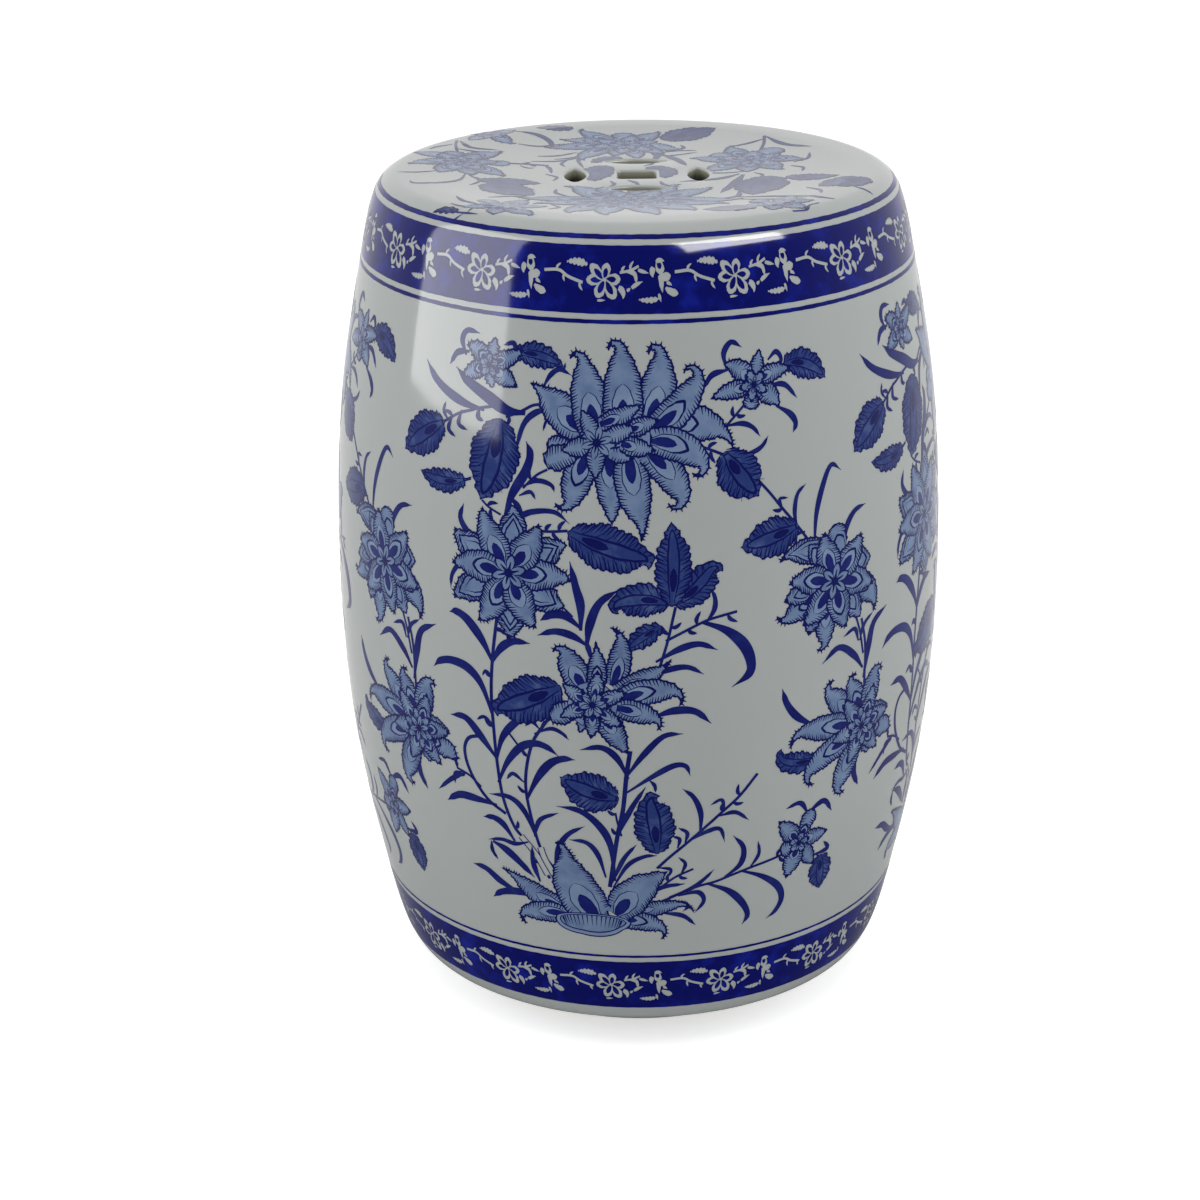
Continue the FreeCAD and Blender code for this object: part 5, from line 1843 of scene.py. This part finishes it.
@dataclass
class Seat:
    """The dished seat with its pierced coin field."""

    shape: SeatShape
    glaze: bpy.types.Material
    hole_glaze: bpy.types.Material
    clay: bpy.types.Material
    turned: bpy.types.NodeTree
    segments: int = 256
    rounding_steps: int = 5
    sharp_angle: float = 0.6
    bare_rows: float = 3.5
    weld: float = 2e-6
    map_scale: float = 5.0
    hole_map: float = 0.05

    def build(self) -> bpy.types.Object:
        """Make the seat and let it stand for its solid."""
        section = self.shape.section()
        seat = apply_tree("seat_skin", row_mesh("seat_section", section), self.turned, {
            "Segments": self.segments, "Bare From": len(section) - self.bare_rows,
            "Bare To": float(len(section)),
            "Sharp Angle": self.sharp_angle, "Material": self.glaze, "Bare Material": self.clay,
        })
        shell = bmesh.new()
        shell.from_mesh(seat.data)
        self._pierce(shell)
        bmesh.ops.remove_doubles(shell, verts=shell.verts, dist=self.weld)
        bmesh.ops.recalc_face_normals(shell, faces=shell.faces)
        shell.to_mesh(seat.data)
        shell.free()
        seat.data.materials.append(self.hole_glaze)
        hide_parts("seat_slab")
        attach(seat, BODY)
        return seat

    def _pierce(self, shell: bmesh.types.BMesh) -> None:
        """Add the coin field with its holes to the shell."""
        shape = self.shape
        top, bottom = shape.top - shape.dish, shape.underside
        turns = [FULL_TURN * step / self.segments for step in range(self.segments)]
        rim = [Vector((math.cos(turn), math.sin(turn))) * shape.field_radius for turn in turns]
        self._sheet(shell, rim, shape.softness, top, 0)
        self._sheet(shell, rim, 0.0, bottom, 1)
        uv = shell.loops.layers.uv.active
        for outline in shape.holes():
            rows = []
            for step in range(self.rounding_steps + 1):
                turn = math.pi / 2 * step / self.rounding_steps
                out = shape.softness * (1 - math.sin(turn))
                drop = shape.softness * (1 - math.cos(turn))
                rows.append([self._vertex(shell, point + away * out, top - drop) for point, away in outline])
            rows.append([self._vertex(shell, point, bottom) for point, _ in outline])
            for number, (upper, lower) in enumerate(zip(rows, rows[1:])):
                for index in range(len(upper)):
                    following = (index + 1) % len(upper)
                    face = shell.faces.new(
                        (upper[index], upper[following], lower[following], lower[index]))
                    face.smooth = True
                    # the walls of the holes below their rounding take the hole glaze, whose darker tone is
                    # partly painted shade
                    face.material_index = 0 if number < self.rounding_steps - 1 else 2
                    for loop, (across, down) in zip(face.loops, ((0, 0), (1, 0), (1, 1), (0, 1))):
                        loop[uv].uv = ((index + across) / len(upper), down * self.hole_map)

    @staticmethod
    def _vertex(shell: bmesh.types.BMesh, point: Vector, height: float) -> bmesh.types.BMVert:
        """A vertex at a point of the plan."""
        return shell.verts.new((point.x * MM, point.y * MM, height * MM))

    def _sheet(self, shell: bmesh.types.BMesh, rim: list[Vector], clear: float, height: float,
               material: int) -> None:
        """A level sheet from the field's rim to the holes' edges."""
        outlines = [[point + away * clear for point, away in outline] for outline in self.shape.holes()]
        points = [*rim]
        loops = [list(range(len(rim)))]
        for outline in outlines:
            loops.append([len(points) + index for index in range(len(outline))])
            points += outline
        places, _, faces, _, _, sources = geometry.delaunay_2d_cdt(points, [], loops, 0, TINY, True)
        uv = shell.loops.layers.uv.active
        made = [self._vertex(shell, place, height) for place in places]
        for corners, origins in zip(faces, sources):
            if list(origins) != [0]:
                continue
            face = shell.faces.new([made[index] for index in corners])
            face.material_index = material
            face.smooth = True
            for loop in face.loops:
                loop[uv].uv = tuple(0.5 + part * self.map_scale for part in loop.vert.co.xy)
        for vertex in made:
            if not vertex.link_faces:
                shell.verts.remove(vertex)


@dataclass
class WallPainting:
    """The blossoms, leaves and grasses of the belly. One quarter turn of them goes round four times."""

    outside: Outside
    paint: bpy.types.Material
    repeated: bpy.types.NodeTree
    low: float = 68.2
    high: float = 411.6
    quarters: int = 4

    def build(self) -> None:
        """Paint the quarters, each a piece of its own."""
        picture = Picture(SEED)
        picture.paint((*TWIGS, *BLADES, *LEAVES, *FLOWERS, CUP))
        period = FULL_TURN * DRAWING_RADIUS / self.quarters
        window = Window(complex(-period / 2, self.low), complex(period / 2, self.high))
        sheet = window.film(picture.repeated(period)).mesh("wall_painting_sheet", self.outside.lay)
        for number in range(self.quarters):
            piece = apply_tree(f"wall_painting_{number + 1}", sheet, self.repeated, {
                "Count": 1, "Start": FULL_TURN * number / self.quarters, "Map Columns": 1.0, "Weld": 0.0,
                "Material": self.paint,
            })
            self.outside.shade(piece.data)
            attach(piece, BODY)


@dataclass
class Band:
    """A blue band with white blossoms round the drum, and the thin blue lines beside it."""

    name: str
    outside: Outside
    paint: bpy.types.Material
    repeated: bpy.types.NodeTree
    low: float
    high: float
    count: int
    shift: float = 0.0
    lines: tuple[float, ...] = ()
    line_width: float = 2.0
    margin: float = 0.6
    tile: float = 4.0
    drawn_count: int = 14
    map_columns: float = 4.0

    def build(self) -> bpy.types.Object:
        """Paint one unit and set copies of it round the drum."""
        period = FULL_TURN * DRAWING_RADIUS / self.count
        picture = Picture(SEED)
        picture.paint([Ground(complex(-period / 2, self.low), complex(period / 2, self.high))])
        half = 1j * self.line_width / 2
        for line in self.lines:
            picture.paint([Ground(line * 1j - period / 2 - half, line * 1j + period / 2 + half)])
        middle = complex(self.shift, (self.low + self.high) / 2)
        stretch = period / (FULL_TURN * DRAWING_RADIUS / self.drawn_count)
        picture.paint(Placed(motif, middle, stretch) for motif in BAND_MOTIFS)
        edges = (self.low, self.high, *self.lines)
        reach = self.line_width / 2 + self.margin
        window = Window(
            complex(-period / 2, min(edges) - reach), complex(period / 2, max(edges) + reach), self.tile)
        sheet = window.film(picture.repeated(period)).mesh(self.name + "_sheet", self.outside.lay)
        piece = apply_tree(self.name, sheet, self.repeated, {
            "Count": self.count, "Start": 0.0, "Map Columns": self.map_columns, "Weld": WELD,
            "Material": self.paint,
        })
        self.outside.shade(piece.data)
        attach(piece, BODY)
        return piece


@dataclass
class SeatPainting:
    """The blossoms round the seat's piercing."""

    shape: SeatShape
    paint: bpy.types.Material
    half_width: float = 132.0
    clear: float = 1.9

    def build(self) -> bpy.types.Object:
        """Paint the seat, clear of the holes."""
        picture = Picture(SEED)
        picture.paint((*SEAT_STEMS, *SEAT_LEAVES, *SEAT_FLOWERS))
        for outline in self.shape.holes():
            edge = [point + away * self.clear for point, away in outline]
            picture.fill([complex(*point) for point in edge], Tone.BARE)
        corner = complex(self.half_width, self.half_width)
        sheet = Window(-corner, corner).film(picture).mesh("seat_painting", self.shape.lay)
        sheet.materials.append(self.paint)
        self.shape.shade(sheet)
        piece = add_piece("seat_painting", sheet)
        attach(piece, BODY)
        return piece


@dataclass
class Fittings:
    """Foot ring, clay coils and pads, which keep their solids and get a finish."""

    clay: bpy.types.Material
    rubber: bpy.types.Material
    clay_nodes: tuple[str, ...] = ("foot_ring", "foot_lute_coil", "seat_lute_coil")
    pad_word: str = "foot_pad"

    def build(self, nodes: dict[str, bpy.types.Object]) -> None:
        """Dress the solids."""
        for name, node in nodes.items():
            finish = self.rubber if name.startswith(self.pad_word) else self.clay
            if name in self.clay_nodes or name.startswith(self.pad_word):
                node.data.materials.clear()
                node.data.materials.append(finish)
                LOG.info("%s: dressed", name)


@dataclass(frozen=True)
class SoftBox:
    """A soft box that stands at a place and faces a target.

    It has a width and a height in metres and a power in watts. It may light the glaze, show in its gloss,
    or both.
    """

    name: str
    place: Place
    target: Place
    size: Point
    power: float
    fills: bool = True
    gleams: bool = True

    def build(self) -> None:
        """Set up the lamp."""
        data = bpy.data.lights.new(self.name, "AREA")
        data.shape = "RECTANGLE"
        data.size, data.size_y = self.size
        data.energy = self.power
        lamp = bpy.data.objects.new(self.name, data)
        lamp.location = self.place
        facing = Vector(self.target) - Vector(self.place)
        lamp.rotation_euler = facing.to_track_quat("-Z", "Y").to_euler()
        lamp.visible_camera = False
        lamp.visible_diffuse = self.fills
        lamp.visible_glossy = self.gleams
        bpy.context.scene.collection.objects.link(lamp)


MIDDLE: Place = (0.0, 0.0, 0.25)
LAMPS = (
    SoftBox("fill_0", (-2.0, -0.1, 1.0), MIDDLE, (1.2, 1.6), 13.0, gleams=False),
    SoftBox("fill_2", (2.0, -0.1, 1.0), MIDDLE, (1.2, 1.6), 13.0, gleams=False),
    SoftBox("fill_high", (0.0, -1.0, 2.3), MIDDLE, (1.6, 1.2), 10.5, gleams=False),
    SoftBox("tall_box", (-1.65, -0.5, 1.05), (0.0, 0.0, 0.95), (1.4, 1.6), 30.0, fills=False),
    SoftBox("wide_box", (1.25, -1.35, 1.75), (0.0, 0.0, 0.45), (1.7, 0.7), 50.0, fills=False),
)


@dataclass(frozen=True)
class Studio:
    """White room, soft lamps and the camera."""

    camera_place: Place = (-0.0215, -1.4128, 0.7610)
    camera_pitch: float = math.radians(68.78)
    camera_roll: float = -0.0095
    lens: float = 81.28
    sensor: float = 36.0
    floor_reach: float = 12.0
    floor_tones: tuple[Colour, Colour] = (linear(236, 236, 236), linear(232, 232, 232))
    floor_clouds: Point = (1.5, 2.0)
    floor_glow: float = 0.60
    bright_back: float = 0.9
    dim_front: float = 0.05
    ambient: float = 0.6

    def build(self) -> None:
        """Set the stage."""
        scene = bpy.context.scene
        scene.view_settings.view_transform = "Standard"
        self._camera(scene)
        self._floor()
        self._world(scene)
        for lamp in LAMPS:
            lamp.build()

    def _camera(self, scene: bpy.types.Scene) -> None:
        """The camera at the picture's place."""
        data = bpy.data.cameras.new("camera")
        data.lens = self.lens
        data.sensor_width = self.sensor
        camera = bpy.data.objects.new("camera", data)
        camera.location = self.camera_place
        pitch = Matrix.Rotation(self.camera_pitch, 3, "X")
        camera.rotation_euler = (pitch @ Matrix.Rotation(self.camera_roll, 3, "Z")).to_euler()
        scene.collection.objects.link(camera)
        scene.camera = camera

    def _floor(self) -> None:
        """A white floor that shows as pure white but still takes the stool's soft shadow."""
        mesh = bpy.data.meshes.new("floor")
        reach = self.floor_reach
        corners = [(-reach, -reach, 0), (reach, -reach, 0), (reach, reach, 0), (-reach, reach, 0)]
        mesh.from_pydata(corners, [], [(0, 1, 2, 3)])
        floor = add_piece("floor", mesh)
        material = bpy.data.materials.new("floor_white")
        shader = Shader(material)
        tone = shader.mix(shader.noise(*self.floor_clouds), *self.floor_tones)
        plain = shader.add("ShaderNodeBsdfDiffuse", {}, {"Color": tone})
        glow = shader.add("ShaderNodeEmission", {}, {"Color": WHITE, "Strength": self.floor_glow})
        both = shader.add("ShaderNodeAddShader", {}, {0: plain, 1: glow})
        surface = shader.add("ShaderNodeMixShader", {}, {0: shader.ray("Is Camera Ray"), 1: plain, 2: both})
        direction = shader.add("ShaderNodeVectorMath", {"operation": "NORMALIZE"}, {0: shader.place()})
        gloss = shader.add(
            "ShaderNodeEmission", {}, {"Color": WHITE, "Strength": self._gloss(shader, direction)})
        surface = shader.add("ShaderNodeMixShader", {}, {0: shader.mirrored(), 1: surface, 2: gloss})
        shader.add("ShaderNodeOutputMaterial", {}, {"Surface": surface})
        mesh.materials.append(material)
        floor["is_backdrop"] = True

    def _gloss(self, shader: Shader, direction: Socket) -> Socket:
        """How bright the room shows in the glaze: white behind the stool, dim on the camera's side."""
        share = (shader.add("ShaderNodeSeparateXYZ", {}, {0: direction}, "Y") + 1.0) * 0.5
        return share * share * (self.bright_back - self.dim_front) + self.dim_front

    def _world(self, scene: bpy.types.Scene) -> None:
        """White behind everything, a gentle even light from all round."""
        scene.world = bpy.data.worlds.new("studio")
        shader = Shader(scene.world)
        mirrored = shader.mirrored()
        direction = shader.add("ShaderNodeTexCoord", {}, {}, "Generated")
        light = (1.0 - mirrored) * self.ambient + mirrored * self._gloss(shader, direction)
        light = shader.maths("MAXIMUM", light, shader.ray("Is Camera Ray"))
        backdrop = shader.add("ShaderNodeBackground", {}, {"Color": WHITE, "Strength": light})
        shader.add("ShaderNodeOutputWorld", {}, {"Surface": backdrop})


def main() -> None:
    """Build the stool's looks piece by piece."""
    logging.basicConfig(level=logging.INFO, format="%(message)s")
    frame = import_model()
    solid_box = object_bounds()
    glaze, clay = WhiteGlaze().material(), BareClay().material()
    turned, repeated = turning_tree(), repeating_tree()
    wall_low, wall_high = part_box("barrel_wall")
    _, seat_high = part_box("seat_slab")
    belly = (wall_high.x - wall_low.x) / 2 / MM
    wall_shape = WallShape(belly_radius=belly - FILM_LIFT, top=seat_high.z / MM)
    seat_shape = SeatShape(top=seat_high.z / MM - FILM_LIFT, rim=wall_shape.rim)
    Drum(wall_shape, glaze, clay, turned).build()
    Seat(seat_shape, glaze, HoleGlaze().material(), clay, turned).build()
    Fittings(clay, PadRubber().material()).build(frame["nodes"])
    wall_points = (point for point in wall_shape.skin(PROFILE_STEPS) if point[1] > PROFILE_START)
    outside = Outside([*wall_points, *seat_shape.edge()[-2:0:-1]])
    cobalt, ground = CobaltPaint().material(), CobaltGround().material()
    WallPainting(outside, cobalt, repeated).build()
    Band("upper_band", outside, ground, repeated, low=416.7, high=448.5, count=14,
         lines=(413.0, 452.1)).build()
    Band("lower_band", outside, ground, repeated, low=30.5, high=62.8, count=15, shift=-1.0,
         lines=(66.5,), line_width=1.5).build()
    SeatPainting(seat_shape, cobalt).build()
    Studio().build()
    dressed_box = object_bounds()
    [[list(corner) for corner in box] for box in (solid_box, dressed_box)]


if __name__ == "__main__":
    main()
